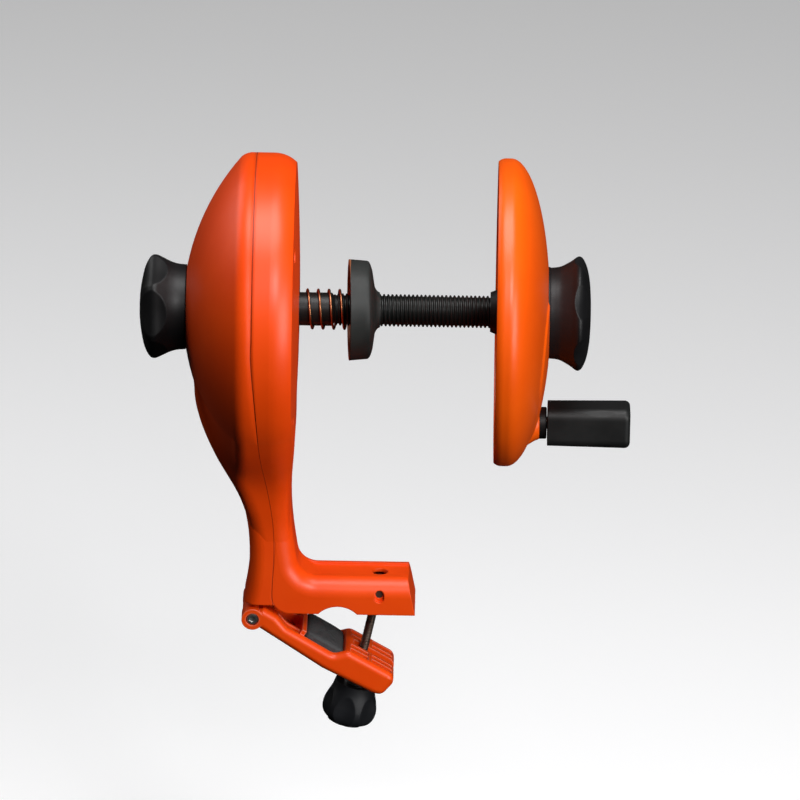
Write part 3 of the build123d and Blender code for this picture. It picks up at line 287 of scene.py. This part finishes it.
def through(points, count):
    """Smooth line through points: a Catmull-Rom curve, sampled evenly in each stretch."""
    known = np.asarray(points, float)
    known = np.vstack([2 * known[0] - known[1], known, 2 * known[-1] - known[-2]])
    t = np.linspace(0, len(known) - 3, count)
    i = np.minimum(t.astype(int), len(known) - 4)
    f = (t - i)[:, None]
    p0, p1, p2, p3 = known[i], known[i + 1], known[i + 2], known[i + 3]
    return 0.5 * (
        2 * p1 + (p2 - p0) * f + (2 * p0 - 5 * p1 + 4 * p2 - p3) * f**2
        + (3 * p1 - p0 - 3 * p2 + p3) * f**3
    )


def ease(value, low, high):
    """0 below low, 1 above high, with a smooth S between."""
    t = np.clip((value - low) / (high - low), 0, 1)
    return t * t * (3 - 2 * t)


def dress(finish, *nodes):
    """Gives CAD nodes their finish."""
    for node in nodes:
        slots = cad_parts[node].data.materials
        slots.clear()
        slots.append(finish.material)


def moulding(name, tone, shade, gloss, edge):
    """Satin moulded plastic: slow drift between two tones, fine grain and rounded edges.

    The edge is the radius of the rounded edges, or a function of the finish that works it out.
    """
    finish = Finish(name, coat_weight=0.15, coat_roughness=0.3, specular_ior_level=0.35)
    drift = finish.ramp(finish.noise(22, 3.0, 0.6), 0.35, 0.68)
    finish.feed(
        Base_Color=finish.blend(drift, tone, shade),
        Roughness=gloss + 0.07 * finish.noise(60, 3.0, 0.6),
    )
    grain = finish.noise(2600, 2.0, 0.6)
    finish.bump(grain, 0.25, 0.00003, edge(finish) if callable(edge) else edge)
    return finish


def shoulder_edge(finish):
    """Radius of the rounded edges: 0.6 mm, and 3.6 mm where the dome turns into the rim."""
    behind = finish.ramp(finish.split(0), -0.047, -0.0495)
    return 0.0006 + 0.003 * behind * finish.ramp(finish.split(2), -0.066, -0.060)


# The seam's station over the height is a polynomial through (height, station) points; the line
# is dark within its half width and fades out by 2.4 half widths.
seam_half = 0.00009
seam_points = [
    (8, -50.0), (-17, -48.6), (-65.4, -44.4), (-95.0, -40.7), (-117.6, -41.9), (-122.3, -40.6),
]
seam_way = through(seam_points, 60) * 0.001
seam_fit = np.polyfit(seam_way[:, 0], seam_way[:, 1], 6)

shell_orange = moulding(
    "shell_orange", (0.90, 0.072, 0.002, 1), (0.82, 0.058, 0.001, 1), 0.36, shoulder_edge,
)
seam_height = shell_orange.clamp(shell_orange.split(2), -0.1223, 0.008)
seam_station = 0.0
for factor in seam_fit:
    seam_station = seam_station * seam_height + float(factor)
off_seam = shell_orange.node(
    "ShaderNodeMath", {"operation": "ABSOLUTE"}, i0=shell_orange.split(0) - seam_station
)
on_seam = shell_orange.ramp(off_seam, 2.4 * seam_half, seam_half)
shell_orange.tint(0.75 * on_seam, (0.20, 0.012, 0.001, 1))
dress(shell_orange, "front_shell", "rear_shell")

# ---------------------------------------------------------------- flow of the head into the arm
# The moulding has no ledge under the round head: head and arm run into each other in one soft
# hollow, which this thin skin over both shells gives.  It carries on their seam.  The head is the
# dome's ball with a rim round it; the arm is a rounded bar between a back and a front contour,
# each given as (height, station) points.
ball_radius, ball_middle = 92.36, 13.96
rim, rear_round, front_round = 62.0, 6.8, 12.8
rear_edge, front_edge = -51.5, -42.8
arm_half, arm_flare, arm_round = 14, 10, 7.2
skin_top, skin_foot = -21, -103
back_way = through(
    [
        (-24, -73.0), (-38.6, -71.6), (-55.7, -64.4), (-74.1, -55.6), (-90, -51.6),
        (-103, -50.8), (-122, -52.9),
    ],
    160,
)[::-1]
front_way = through(
    [(-10, -33.4), (-24, -33.4), (-50, -33.0), (-80, -34.4), (-104.4, -31.7)], 120
)[::-1]


def lesser(first, second, reach):
    """Lesser of two numbers, with a round passage where they differ by less than the reach."""
    share = np.clip(0.5 + 0.5 * (second - first) / reach, 0, 1)
    return second + (first - second) * share - reach * share * (1 - share)


def flowing(first, second, reach):
    """Lesser of two numbers with a passage that has no start or end: the log of summed powers."""
    return np.minimum(first, second) - reach * np.log1p(np.exp(-np.abs(first - second) / reach))


def head_radius(x):
    """Radius of the head at a station: least of the dome's ball and the rim's two rounded edges."""
    ball = np.sqrt(np.maximum(ball_radius**2 - (x - ball_middle) ** 2, 0))
    past_rear, past_front = np.clip(rear_edge - x, 0, 4.5), np.clip(x - front_edge, 0, 8.9)
    rear = rim - rear_round + np.sqrt(rear_round**2 - past_rear**2)
    front = rim - front_round + np.sqrt(front_round**2 - past_front**2)
    return np.minimum(ball, np.minimum(rear, front))


def beyond_housing(x, y, z, left, right):
    """Distance out of head and arm: lesser of both, rounded, and cut off at both side contours."""
    head = np.hypot(y, z) - head_radius(x)
    off_x = np.abs(x - (left + right) / 2) - (right - left) / 2 + arm_round
    off_y = y - arm_half - arm_flare * ease(z, -101, -20) + arm_round
    corner = np.hypot(np.maximum(off_x, 0), np.maximum(off_y, 0))
    arm = corner + np.minimum(np.maximum(off_x, off_y), 0) - arm_round
    both = flowing(head, arm, 0.05 + 10 * ease(-z, 18, 58) * ease(z, -112, -80))
    return -lesser(-both, -np.maximum(left - x, x - right), 2.5)


def neck_skin(depth):
    """Rows down the housing, from the near front edge round the back to the far one, at a depth.

    Along a row the station eases from the back to the front contour, and the distance from the
    middle plane is where the distance out of the housing is minus the depth, found by halving.
    The skin dips deeper at its top and foot, so both its ends lie inside the shells.
    """
    z = np.linspace(skin_top, skin_foot, 140)[:, None]
    depth = depth - 0.26 * ease(-z, 30, 54) * ease(z, skin_foot, -76)
    depth = depth + 0.5 * ease(z, -34, skin_top) + 0.3 * ease(-z, 92, -skin_foot)
    ball = ball_middle - np.sqrt(np.maximum(ball_radius**2 - z**2, 0))
    left = lesser(ball, np.interp(z, back_way[:, 0], back_way[:, 1]), 4.0) + depth
    right = np.interp(z, front_way[:, 0], front_way[:, 1])
    x = left + (right - 0.3 - left) * (1 - np.cos(np.linspace(0, np.pi / 2, 70)))[None, :]
    inner, outer = np.zeros_like(x), np.full_like(x, 75.0)
    for _halving in range(34):
        middle = (inner + outer) / 2
        within = beyond_housing(x, middle, z, left, right) < -depth
        inner, outer = np.where(within, middle, inner), np.where(within, outer, middle)
    inner[:, 0] = 0
    near = np.stack([x, -inner, z + 0 * x], -1)
    far = near * [1, -1, 1]
    return np.concatenate([near[:, ::-1], far[:, 1:]], 1)


outside, inside = neck_skin(0.2), neck_skin(1.2)
inside[[0, -1]] = outside[[0, -1]]
skin = np.concatenate([outside, inside[:, ::-1]], 1)
build_piece(
    "neck_skin", skin, grid(*skin.shape[:2], ring_columns=True), "housing", "orange_plastic",
    shell_orange, sharp=50,
)

# ---------------------------------------------------------------- screws that join the shells
# Four zinc-plated pan-head screws, sunk in round recesses of the front face.  Head, cross recess
# and shank are one turned blank, so each is one skin of rings from the tip to the recess.


def steel(name, tone, gloss, grain):
    """Plated steel: slow cloudiness in the plating and fine turning marks."""
    finish = Finish(name, metallic=1.0)
    cloud = finish.ramp(finish.noise(160, 4.0, 0.65), 0.3, 0.7)
    finish.feed(
        Base_Color=finish.blend(cloud, tone, tuple(0.78 * part for part in tone[:3]) + (1,)),
        Roughness=gloss + 0.16 * finish.noise(420, 3.0, 0.6),
    )
    finish.bump(finish.noise(grain, 2.0, 0.6), 0.2, 0.00002)
    return finish


def ring(station, radius, count=48, centre=(0.0, 0.0)):
    """Points round an axis along X at a station, with one radius or a radius for each point."""
    angle = np.linspace(0, 2 * np.pi, count, endpoint=False)
    radius = np.broadcast_to(np.asarray(radius, float), (count,))
    y, z = centre[0] + radius * np.cos(angle), centre[1] + radius * np.sin(angle)
    return np.stack([np.full(count, station), y, z], -1)


def cross_radius(count, reach, half):
    """Radius of a plus sign at each angle: its arms end at reach and are two halves wide."""
    turn = (np.linspace(0, 2 * np.pi, count, endpoint=False) + np.pi / 4) % (np.pi / 2) - np.pi / 4
    along, side = np.cos(turn), np.abs(np.sin(turn))
    return np.where(side * reach < half * along, reach / along, half / np.maximum(side, 1e-6))


bright_steel = steel("bright_steel", (0.62, 0.61, 0.59, 1), 0.26, 3000)
screw_foot, screw_top = (corner[0] * 1000 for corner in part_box("shell_screws"))
screw_circle = 50.0
cross = cross_radius(64, 1.45, 0.33)
for number, degrees in enumerate((45, 135, 225, 315), 1):
    angle = math.radians(degrees)
    spot = (screw_circle * math.cos(angle), screw_circle * math.sin(angle))
    steps = (
        (screw_foot, 0), (screw_foot, 0.7), (screw_foot + 2, 1.4), (screw_top - 1.8, 1.4),
        (screw_top - 1.8, 2.6), (screw_top - 1.65, 2.78), (screw_top - 0.9, 2.75),
        (screw_top - 0.3, 2.3), (screw_top, 1.75), (screw_top, cross),
        (screw_top - 0.9, 0.92 * cross), (screw_top - 1.05, 0),
    )
    skin = np.stack([ring(station, radius, 64, spot) for station, radius in steps])
    build_piece(
        f"shell_screw_{number}", skin, grid(len(steps), 64, ring_columns=True), "housing", "steel",
        bright_steel, ["shell_screws"], 30,
    )

# ---------------------------------------------------------------- bushes and friction washer
# Sintered bronze bushes carry the shaft in both shells, and a fibre washer lies on the land behind
# the dome.  They show only as thin rims, with an open grain.


def sintered(name, tone, shade, metallic):
    """Grainy pressed material with a dull, speckled surface."""
    finish = Finish(name, metallic=metallic)
    speck = finish.ramp(finish.noise(2400, 3.0, 0.7), 0.4, 0.65)
    finish.feed(Base_Color=finish.blend(speck, tone, shade), Roughness=0.5 + 0.2 * speck)
    finish.bump(speck, 0.3, 0.00003)
    return finish


bronze = sintered("sintered_bronze", (0.50, 0.31, 0.13, 1), (0.34, 0.20, 0.08, 1), 1.0)
dress(bronze, "front_bush", "rear_bush")
fibre = sintered("pressed_fibre", (0.22, 0.12, 0.07, 1), (0.15, 0.08, 0.05, 1), 0.0)
dress(fibre, "friction_washer")

# ---------------------------------------------------------------- spool shaft
# Black shaft that turns in the bushes: smooth through the housing and under the spring, then with
# a coarse right-hand thread as far as its end inside the clamp knob.


def black_nylon(name, tone, gloss, grain, depth, edge):
    """Black nylon: faint lighter bloom over near-black, and a fine pebble."""
    finish = Finish(name, coat_roughness=0.25, specular_ior_level=0.32)
    bloom = finish.ramp(finish.noise(45, 4.0, 0.6), 0.4, 0.75)
    light = tuple(min(1.0, 1.7 * part + 0.003) for part in tone[:3]) + (1,)
    finish.feed(
        Base_Color=finish.blend(bloom, tone, light),
        Roughness=gloss + 0.12 * finish.noise(130, 3.0, 0.6),
    )
    finish.bump(finish.noise(grain, 3.0, 0.6), 0.35, depth, edge)
    return finish


def turned(name, profile, body, slot, finish, count=96, centre=(0.0, 0.0), **more):
    """Solid of revolution round X: the profile's (station, radius) points, carried round."""
    skin = np.stack([ring(station, radius, count, centre) for station, radius in profile])
    faces = grid(len(profile), count, ring_columns=True)
    return build_piece(name, skin, faces, body, slot, finish, **more)


def threaded(start, end, pitch, root, crest, count, steps=10, fade=1.2):
    """Skin of a right-hand thread round X, closed at both ends, as rows of points.

    Each row is one turn of a helix, station = row start + pitch * angle / full turn, so the last
    point of a row meets the first of the row one pitch on.  The radius swings between root and
    crest over one pitch and rises from the root over the fade at both ends.
    """
    turns = int((end - start) / pitch) + 2
    row = np.arange(turns * steps + 1)[:, None]
    angle = np.linspace(0, 2 * np.pi, count + 1)[None, :]
    station = np.clip(start + pitch * (row / steps - 1 + angle / (2 * np.pi)), start, end)
    tooth = ease(np.abs(2 * ((row % steps) / steps) - 1), 0.22, 0.74)
    run_in = ease(station, start - 0.2 * fade, start + fade)
    run_out = ease(-station, -end - 0.2 * fade, -end + fade)
    radius = root + (crest - root) * (tooth * run_in * run_out)
    skin = np.stack([station, radius * np.cos(angle), radius * np.sin(angle)], -1)
    first, last = skin[:1].copy(), skin[-1:].copy()
    first[..., 0], last[..., 0] = start, end
    first[..., 1:], last[..., 1:] = 0, 0
    return np.concatenate([first, skin, last])


shaft_black = black_nylon("shaft_black", (0.0055, 0.006, 0.0055, 1), 0.34, 1800, 0.00003, 0.0)
shaft_foot, shaft_end = (corner[0] * 1000 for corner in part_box("spool_shaft"))
thread_start, thread_pitch, thread_crest, thread_root = -18.5, 1.65, 6.45, 5.65
stud_radius, journal_radius, groove_radius = 4.0, 6.65, 5.85
land_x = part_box("rear_shell")[0][0] * 1000
turned(
    "shaft_journal",
    [
        (shaft_foot, 0), (shaft_foot, stud_radius - 0.4), (shaft_foot + 0.4, stud_radius),
        (land_x - 1.2, stud_radius), (land_x - 1.2, 5.5), (-65.0, 5.5), (-65.0, journal_radius),
        (-51.4, journal_radius), (-51.4, groove_radius), (-50.2, groove_radius),
        (-50.2, journal_radius), (thread_start - 0.6, journal_radius),
        (thread_start + 0.2, thread_root - 0.1), (thread_start + 0.2, 0),
    ],
    "spindle", "black_shaft", shaft_black, replaces=["spool_shaft"],
)
thread = threaded(thread_start, shaft_end, thread_pitch, thread_root, thread_crest, 72)
build_piece(
    "shaft_thread", thread, grid(len(thread), 73), "spindle", "black_shaft", shaft_black,
    ["spool_shaft"], 50,
)

# ---------------------------------------------------------------- drag: washers, knob and nut
# Steel plate, cup washers and thrust washer on the shaft's flatted stud, squeezed by a black lobed
# knob of moulded nylon with a steel nut inside.
plate_steel = steel("plate_steel", (0.55, 0.55, 0.54, 1), 0.32, 2600)
dress(plate_steel, "pressure_plate", "cup_springs", "thrust_washer", "shaft_clip", "knob_clip")
dress(plate_steel, "drag_knob_nut", "clamp_knob_nut", "jaw_knob_nut")
dress(plate_steel, "crank_nut", "crank_pin", "hinge_nut")
knob_black = black_nylon("knob_black", (0.0045, 0.0045, 0.005, 1), 0.40, 2200, 0.00004, 0.0006)


def lobed_knob(name, body, finish, inside, outside, scallop, place=None):
    """Flared knob with six shallow scallops round it, in place of its body's CAD node.

    The skin is turned from the inside and the smooth outside profile.  The outside loses
    depth * (1 - u^2 - v^2) where that is positive: u and v are the distances from the middle of a
    scallop along the knob and round it, in halves of its length and turn.  The scallop gives the
    station of its middle, half length, half turn, depth and the place of the first, in degrees.
    """
    middle, half_length, half_turn, depth, first = scallop
    count = 360
    turn = (np.arange(count) * 360 / count - first + 30) % 60 - 30
    flank = through(outside, 110)
    bite = 1 - ((flank[:, :1] - middle) / half_length) ** 2 - (turn[None] / half_turn) ** 2
    radius = np.maximum(flank[:, 1:], 0) - depth * np.maximum(bite, 0) * ease(flank[:, 1:], 1, 9)
    profile = inside + list(zip(flank[:, 0], radius))
    skin = np.stack([ring(station, size, count) for station, size in profile])
    if place:
        skin = place(skin)
    bored_through = inside[0][1] > 0
    faces = grid(len(skin), count, bored_through, True)
    return build_piece(name, skin, faces, body, "black_plastic", finish, [body], 28)


drag_end, drag_mouth = (corner[0] * 1000 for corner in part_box("drag_knob"))
nut_back, nut_front = -88.15, -83.15
lobed_knob(
    "drag_knob_body", "drag_knob", knob_black,
    [
        (drag_end + 3.0, 0), (drag_end + 3.0, 4.3), (nut_back, 4.3), (nut_back, 7.3),
        (nut_front, 7.3), (nut_front, 13.0), (drag_mouth, 13.0), (drag_mouth, 16.7),
    ],
    [
        (drag_mouth, 16.9), (-80.5, 17.2), (-83.5, 18.1), (-86.6, 19.6), (-89.0, 20.7),
        (-90.8, 20.5), (-92.4, 18.6), (-93.8, 15.2), (-94.9, 10.0), (-95.5, 5.0), (drag_end, 0),
    ],
    (-91.0, 6.6, 27.0, 2.6, 49.0),
)

# ---------------------------------------------------------------- spring, its seat and the cone
# Copper-coloured wire spring on a blackened washer pushes the black cup out along the shaft.  The
# cup's rear rim is worn to a thin coppery edge, and the cup, which fits the shaft loosely, leans a
# little under the spring's push.


def copied(node, turn):
    """Points in millimetres and faces of a CAD node, turned by a matrix about its box's middle."""
    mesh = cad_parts[node].data
    points = np.empty(len(mesh.vertices) * 3)
    mesh.vertices.foreach_get("co", points)
    middle = np.array(sum(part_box(node), Vector())) * 500
    points = (points.reshape(-1, 3) * 1000 - middle) @ np.asarray(turn).T + middle
    return points, [tuple(face.vertices) for face in mesh.polygons]


wire = steel("coppery_wire", (0.50, 0.21, 0.10, 1), 0.24, 5000)
spring = build_piece(
    "coil_spring", *copied("cone_spring", np.eye(3)), "spindle", "copper_wire", wire,
    ["cone_spring"], 60,
)
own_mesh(spring)
seat_black = black_nylon("blackened_washer", (0.02, 0.02, 0.02, 1), 0.35, 2600, 0.00003, 0.0)
dress(seat_black, "spring_seat")
cone_black = black_nylon("cone_black", (0.017, 0.020, 0.019, 1), 0.46, 1300, 0.00007, 0.0004)
cone_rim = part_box("spool_cone")[0][0]
rim_wear = cone_black.ramp(cone_black.split(0), cone_rim + 0.0007, cone_rim + 0.0003)
cone_black.tint(rim_wear, (0.30, 0.11, 0.045, 1))
cone_lean = math.radians(3.0)
along, across = math.cos(cone_lean), math.sin(cone_lean)
lean = [[along, -across, 0], [across, along, 0], [0, 0, 1]]
build_piece(
    "spool_cup", *copied("spool_cone", lean), "cone", "black_plastic", cone_black,
    ["spool_cone"], 30,
)

# ---------------------------------------------------------------- winder disc
# Dished orange disc with a raised fan that spreads from its knob down to the crank, closed at the
# back by a flat plate that carries the black hub.  All are satin mouldings.
disc_orange = moulding(
    "disc_orange", (0.92, 0.110, 0.002, 1), (0.86, 0.092, 0.001, 1), 0.34, 0.0007,
)
dress(disc_orange, "winder_disc", "disc_back")
dress(knob_black, "disc_hub", "knob_washer")

disc_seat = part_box("winder_disc")[1][0] * 1000
disc_rise, disc_wide = 16.4, 61.3
dome_base = disc_seat + 0.8 - disc_rise
fan_edge = [
    (0, 13), (17, 11.5), (27.2, 5.6), (33.6, -5), (34.6, -19), (27, -31), (18.5, -43), (9.5, -53),
    (0, -54.5),
]
fan_side = through(fan_edge, 61)
fan_outline = np.concatenate([fan_side, fan_side[-2:0:-1] * [-1, 1]])
fan_height, fan_slope, fan_thickness, fan_bore = 0.75, 2.2, 0.8, 12.0


def disc_dome(y, z):
    """Station of the dome over a point of the disc: an ellipse about X, flat round the knob."""
    far = np.hypot(y, z)
    dome = dome_base + disc_rise * np.sqrt(np.clip(1 - (far / disc_wide) ** 2, 0, 1))
    return np.minimum(dome, disc_seat)


share = np.linspace(0, 1, 40)[:, None, None]
sleeve_hole = fan_bore * fan_outline / np.linalg.norm(fan_outline, axis=1)[:, None]
spread = sleeve_hole + share * (fan_outline - sleeve_hole)
inset = np.linalg.norm(fan_outline[None] - spread, axis=-1)
fan_y, fan_z = spread[..., 0], spread[..., 1]
clear_of_knob = ease(np.hypot(fan_y, fan_z), 18.9, 20.6)
under_knob, sunk_edge = 0.12, 0.05
lift = fan_height * ease(inset, 0, fan_slope) * clear_of_knob
lift = lift - under_knob * (1 - clear_of_knob) - sunk_edge
top = np.stack([disc_dome(fan_y, fan_z) + lift, fan_y, fan_z], -1)
bottom = top[::-1].copy()
bottom[..., 0] = disc_dome(bottom[..., 1], bottom[..., 2]) - fan_thickness
fan = np.concatenate([top, bottom])
build_piece(
    "crank_fan", fan, grid(len(fan), len(fan_outline), True, True), "disc", "orange_plastic",
    disc_orange, sharp=60,
)

# ---------------------------------------------------------------- clamp knob
# Lobed black nylon knob like the drag knob's, with its sleeve and steel nut inside the disc.
clamp_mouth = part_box("knob_washer")[1][0] * 1000
sleeve_start, clamp_end = (corner[0] * 1000 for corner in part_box("clamp_knob"))
lobed_knob(
    "clamp_knob_body", "clamp_knob", knob_black,
    [
        (clamp_end - 2.2, 0), (clamp_end - 2.2, 6.95), (sleeve_start + 7, 6.95),
        (sleeve_start + 7, 8.66), (sleeve_start, 8.66), (sleeve_start, 10.4), (clamp_mouth, 10.4),
        (clamp_mouth, 17.9),
    ],
    [
        (clamp_mouth, 18.1), (70.0, 18.3), (72.4, 18.9), (76.0, 20.9), (78.2, 22.5), (79.6, 22.7),
        (81.0, 21.4), (82.5, 17.8), (83.5, 12.4), (83.95, 6.0), (clamp_end, 0),
    ],
    (80.9, 3.6, 19.0, 2.2, 27.5),
)

# ---------------------------------------------------------------- crank boss and grip
# An orange boss flares out of the disc under the crank.  Black collar and a square finger grip
# with long facets, in fine-grained nylon, free on its pin.
dress(knob_black, "crank_collar")
collar_low, collar_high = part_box("crank_collar")
boss_top = collar_low[0] * 1000 - 0.05
crank_z = (collar_low[2] + collar_high[2]) * 500
turned(
    "crank_boss",
    [
        (57.5, 0), (57.5, 9.8), (59.6, 9.2), (61.2, 8.2), (62.6, 7.3), (boss_top - 0.45, 6.75),
        (boss_top, 6.45), (boss_top, 0),
    ],
    "disc", "orange_plastic", disc_orange, centre=(0, crank_z), sharp=60,
)
grip_black = black_nylon("grip_black", (0.0075, 0.008, 0.008, 1), 0.42, 1500, 0.00006, 0.0007)
dress(grip_black, "crank_grip", "grip_plug")

# ---------------------------------------------------------------- lower jaw
# Ribbed and forked jaw in an orange nylon that lets some light through, so its pockets look deep
# red.  Its rib tops and thin edges are tinted paler and pinkish: a painted highlight.
jaw_orange = moulding("jaw_orange", (0.90, 0.078, 0.002, 1), (0.82, 0.062, 0.001, 1), 0.34, 0.0005)
jaw_orange.shader.inputs["Subsurface Weight"].default_value = 0.12
jaw_orange.shader.inputs["Subsurface Radius"].default_value = (1.0, 0.25, 0.08)
jaw_orange.shader.inputs["Subsurface Scale"].default_value = 0.002
# painted highlight: a paler pinkish tint laid on rib tops and thin edges where the edge mask rises
painted_edge_highlight = jaw_orange.ramp(jaw_orange.edges(0.0011), 0.03, 0.22)
jaw_orange.tint(0.6 * painted_edge_highlight, (0.95, 0.30, 0.20, 1))
dress(jaw_orange, "lower_jaw")

# ---------------------------------------------------------------- rubber pad
# Moulded dark rubber block that holds the rod, with a dull, coarse skin: a squared ball with a
# slight crown along the jaw and a pebble on its faces.
pad_rubber = Finish("pad_rubber", specular_ior_level=0.35)
grit = pad_rubber.noise(900, 5.0, 0.7)
pad_rubber.feed(
    Base_Color=pad_rubber.blend(
        pad_rubber.ramp(grit, 0.35, 0.7), (0.040, 0.040, 0.041, 1), (0.075, 0.075, 0.077, 1)
    ),
    Roughness=0.62 + 0.2 * grit,
)
pad_rubber.bump(grit, 0.5, 0.0002)
pad_middle, pad_half_length, pad_half_width = 30.75, 8.6, 10.9
pad_seat, pad_half_height, pad_crown = 3.45, 3.1, 0.25
jaw_slope, hinge_place = math.radians(31), np.array([-49.4, 0, -128.65])
along_jaw = np.array([math.cos(jaw_slope), 0, -math.sin(jaw_slope)])
off_jaw = np.array([math.sin(jaw_slope), 0, math.cos(jaw_slope)])


def bent(angle, power, way):
    """Signed power of a cosine or sine, which squares a round form."""
    wave = way(angle)
    return np.sign(wave) * np.abs(wave) ** power


round_v = np.linspace(-np.pi / 2, np.pi / 2, 90)[:, None]
round_u = np.linspace(0, 2 * np.pi, 180, endpoint=False)[None, :]
waves_round = np.sin(36 * round_u + 3 * np.sin(17 * round_v))
waves_up = np.sin(31 * round_v + 2 * np.sin(13 * round_u))
pebble = 0.07 * waves_round * waves_up
flat_share = bent(round_v, 0.22, np.cos)
along_pad = pad_half_length * flat_share * bent(round_u, 0.2, np.cos)
across_pad = (pad_half_width + pebble) * flat_share * bent(round_u, 0.2, np.sin)
up_pad = pad_seat + (pad_half_height + pebble) * bent(round_v, 0.3, np.sin)
up_pad = up_pad + pad_crown * (1 - (along_pad / (pad_half_length + 0.1)) ** 2)
pad = (
    hinge_place + (pad_middle + along_pad)[..., None] * along_jaw + up_pad[..., None] * off_jaw
    + across_pad[..., None] * np.array([0, 1, 0])
)
build_piece(
    "rod_pad", pad, grid(90, 180, ring_columns=True), "lower_jaw", "rubber_grey", pad_rubber,
    ["jaw_pad"], 60,
)

# ---------------------------------------------------------------- hinge pin and cross pin
# Steel cap screw through the knuckles, with a hexagon socket in its near head, and a plain pin
# across the upper jaw.


def across_jaw(skin):
    """Turns points made round X so that they lie round Y, with their far end towards the viewer."""
    return np.stack([skin[..., 1], -skin[..., 0], skin[..., 2]], -1)


def hexagon_radius(count, flat):
    """Radius of a hexagon at each angle, flat being half its width across flats."""
    turn = (np.linspace(0, 2 * np.pi, count, endpoint=False) + np.pi / 6) % (np.pi / 3) - np.pi / 6
    return flat / np.cos(turn)


pin_low, pin_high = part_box("hinge_pin")
pin_centre = np.array(pin_low + pin_high) * 500
head_top = -pin_low[1] * 1000
pin_foot = -pin_high[1] * 1000
socket = hexagon_radius(48, 1.15)
pin_steps = (
    (pin_foot, 0), (pin_foot, 1.3), (pin_foot + 0.3, 1.6), (head_top - 1.4, 1.6),
    (head_top - 1.4, 2.15), (head_top - 1.25, 2.3), (head_top - 0.2, 2.3), (head_top, 2.1),
    (head_top, 1.05 * socket), (head_top - 0.1, socket), (head_top - 1.0, socket),
    (head_top - 1.25, 0),
)
pin_skin = across_jaw(np.stack([ring(station, radius) for station, radius in pin_steps]))
pin_skin = pin_skin + [pin_centre[0], 0, pin_centre[2]]
build_piece(
    "hinge_cap_screw", pin_skin, grid(len(pin_steps), 48, ring_columns=True), "housing", "steel",
    bright_steel, ["hinge_pin"], 30,
)
brown_steel = steel("browned_steel", (0.30, 0.20, 0.15, 1), 0.36, 2400)
dress(brown_steel, "cross_pin")

# ---------------------------------------------------------------- swing bolt and washer
# Dark, oiled threaded rod that hangs from the cross pin by an eye and passes the fork of the jaw.
bolt_steel = steel("oiled_steel", (0.20, 0.155, 0.125, 1), 0.38, 2400)
dress(bright_steel, "jaw_washer")
pivot = np.array(sum(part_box("cross_pin"), Vector())) * 500
bolt_lean, bolt_crest, bolt_root = math.radians(12), 1.8, 1.5
bolt_drop = pivot[2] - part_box("swing_bolt")[0][2] * 1000
bolt_length = (bolt_drop - bolt_crest * math.sin(bolt_lean)) / math.cos(bolt_lean)
down = np.array([-math.sin(bolt_lean), 0, -math.cos(bolt_lean)])
sideways = np.array([math.cos(bolt_lean), 0, -math.sin(bolt_lean)])


def along_bolt(skin):
    """Turns points made round X so that X runs down the bolt from the cross pin."""
    x, y, z = skin[..., :1], skin[..., 1:2], skin[..., 2:]
    return pivot + x * down + y * np.array([0, 1, 0]) + z * sideways


bolt_thread = along_bolt(threaded(1.9, bolt_length, 0.7, bolt_root, bolt_crest, 32, 8, 0.8))
build_piece(
    "bolt_thread", bolt_thread, grid(len(bolt_thread), 33), "bolt", "dark_steel", bolt_steel,
    ["swing_bolt"], 60,
)
eye_section = [
    (1.56, -2.1), (1.56, 2.1), (1.7, 2.4), (2.9, 2.4), (3.2, 2.0), (3.2, -2.0), (2.9, -2.4),
    (1.7, -2.4),
]
eye_turn = np.linspace(0, 2 * np.pi, 49)[None, :-1]
eye_radius, eye_y = (np.array(size)[:, None] for size in zip(*eye_section))
eye = np.stack(
    [
        pivot[0] + eye_radius * np.cos(eye_turn), eye_y + 0 * eye_turn,
        pivot[2] + eye_radius * np.sin(eye_turn),
    ],
    -1,
)
build_piece(
    "bolt_eye", eye, grid(8, 48, True, True), "bolt", "dark_steel", bolt_steel, ["swing_bolt"], 40,
)

# ---------------------------------------------------------------- jaw knob
# Smaller lobed knob in matt black nylon, bored through for the bolt.
matt_black = black_nylon("matt_black", (0.0055, 0.006, 0.0075, 1), 0.46, 2000, 0.00005, 0.0006)
knob_top = 44.38
knob_end = knob_top + 18.1
lobed_knob(
    "jaw_knob_body", "jaw_knob", matt_black,
    [
        (knob_end, 2.15), (knob_top + 5, 2.15), (knob_top + 5, 3.9), (knob_top, 3.9),
        (knob_top, 8.0),
    ],
    [
        (knob_top, 8.2), (knob_top + 3.5, 8.9), (knob_top + 7.5, 10.3), (knob_top + 10.5, 11.0),
        (knob_top + 13.5, 10.8), (knob_top + 15.8, 9.6), (knob_top + 17.3, 7.4),
        (knob_top + 18.05, 4.6), (knob_end, 2.3),
    ],
    (knob_top + 11.0, 7.0, 24.0, 1.5, 12.0), along_bolt,
)
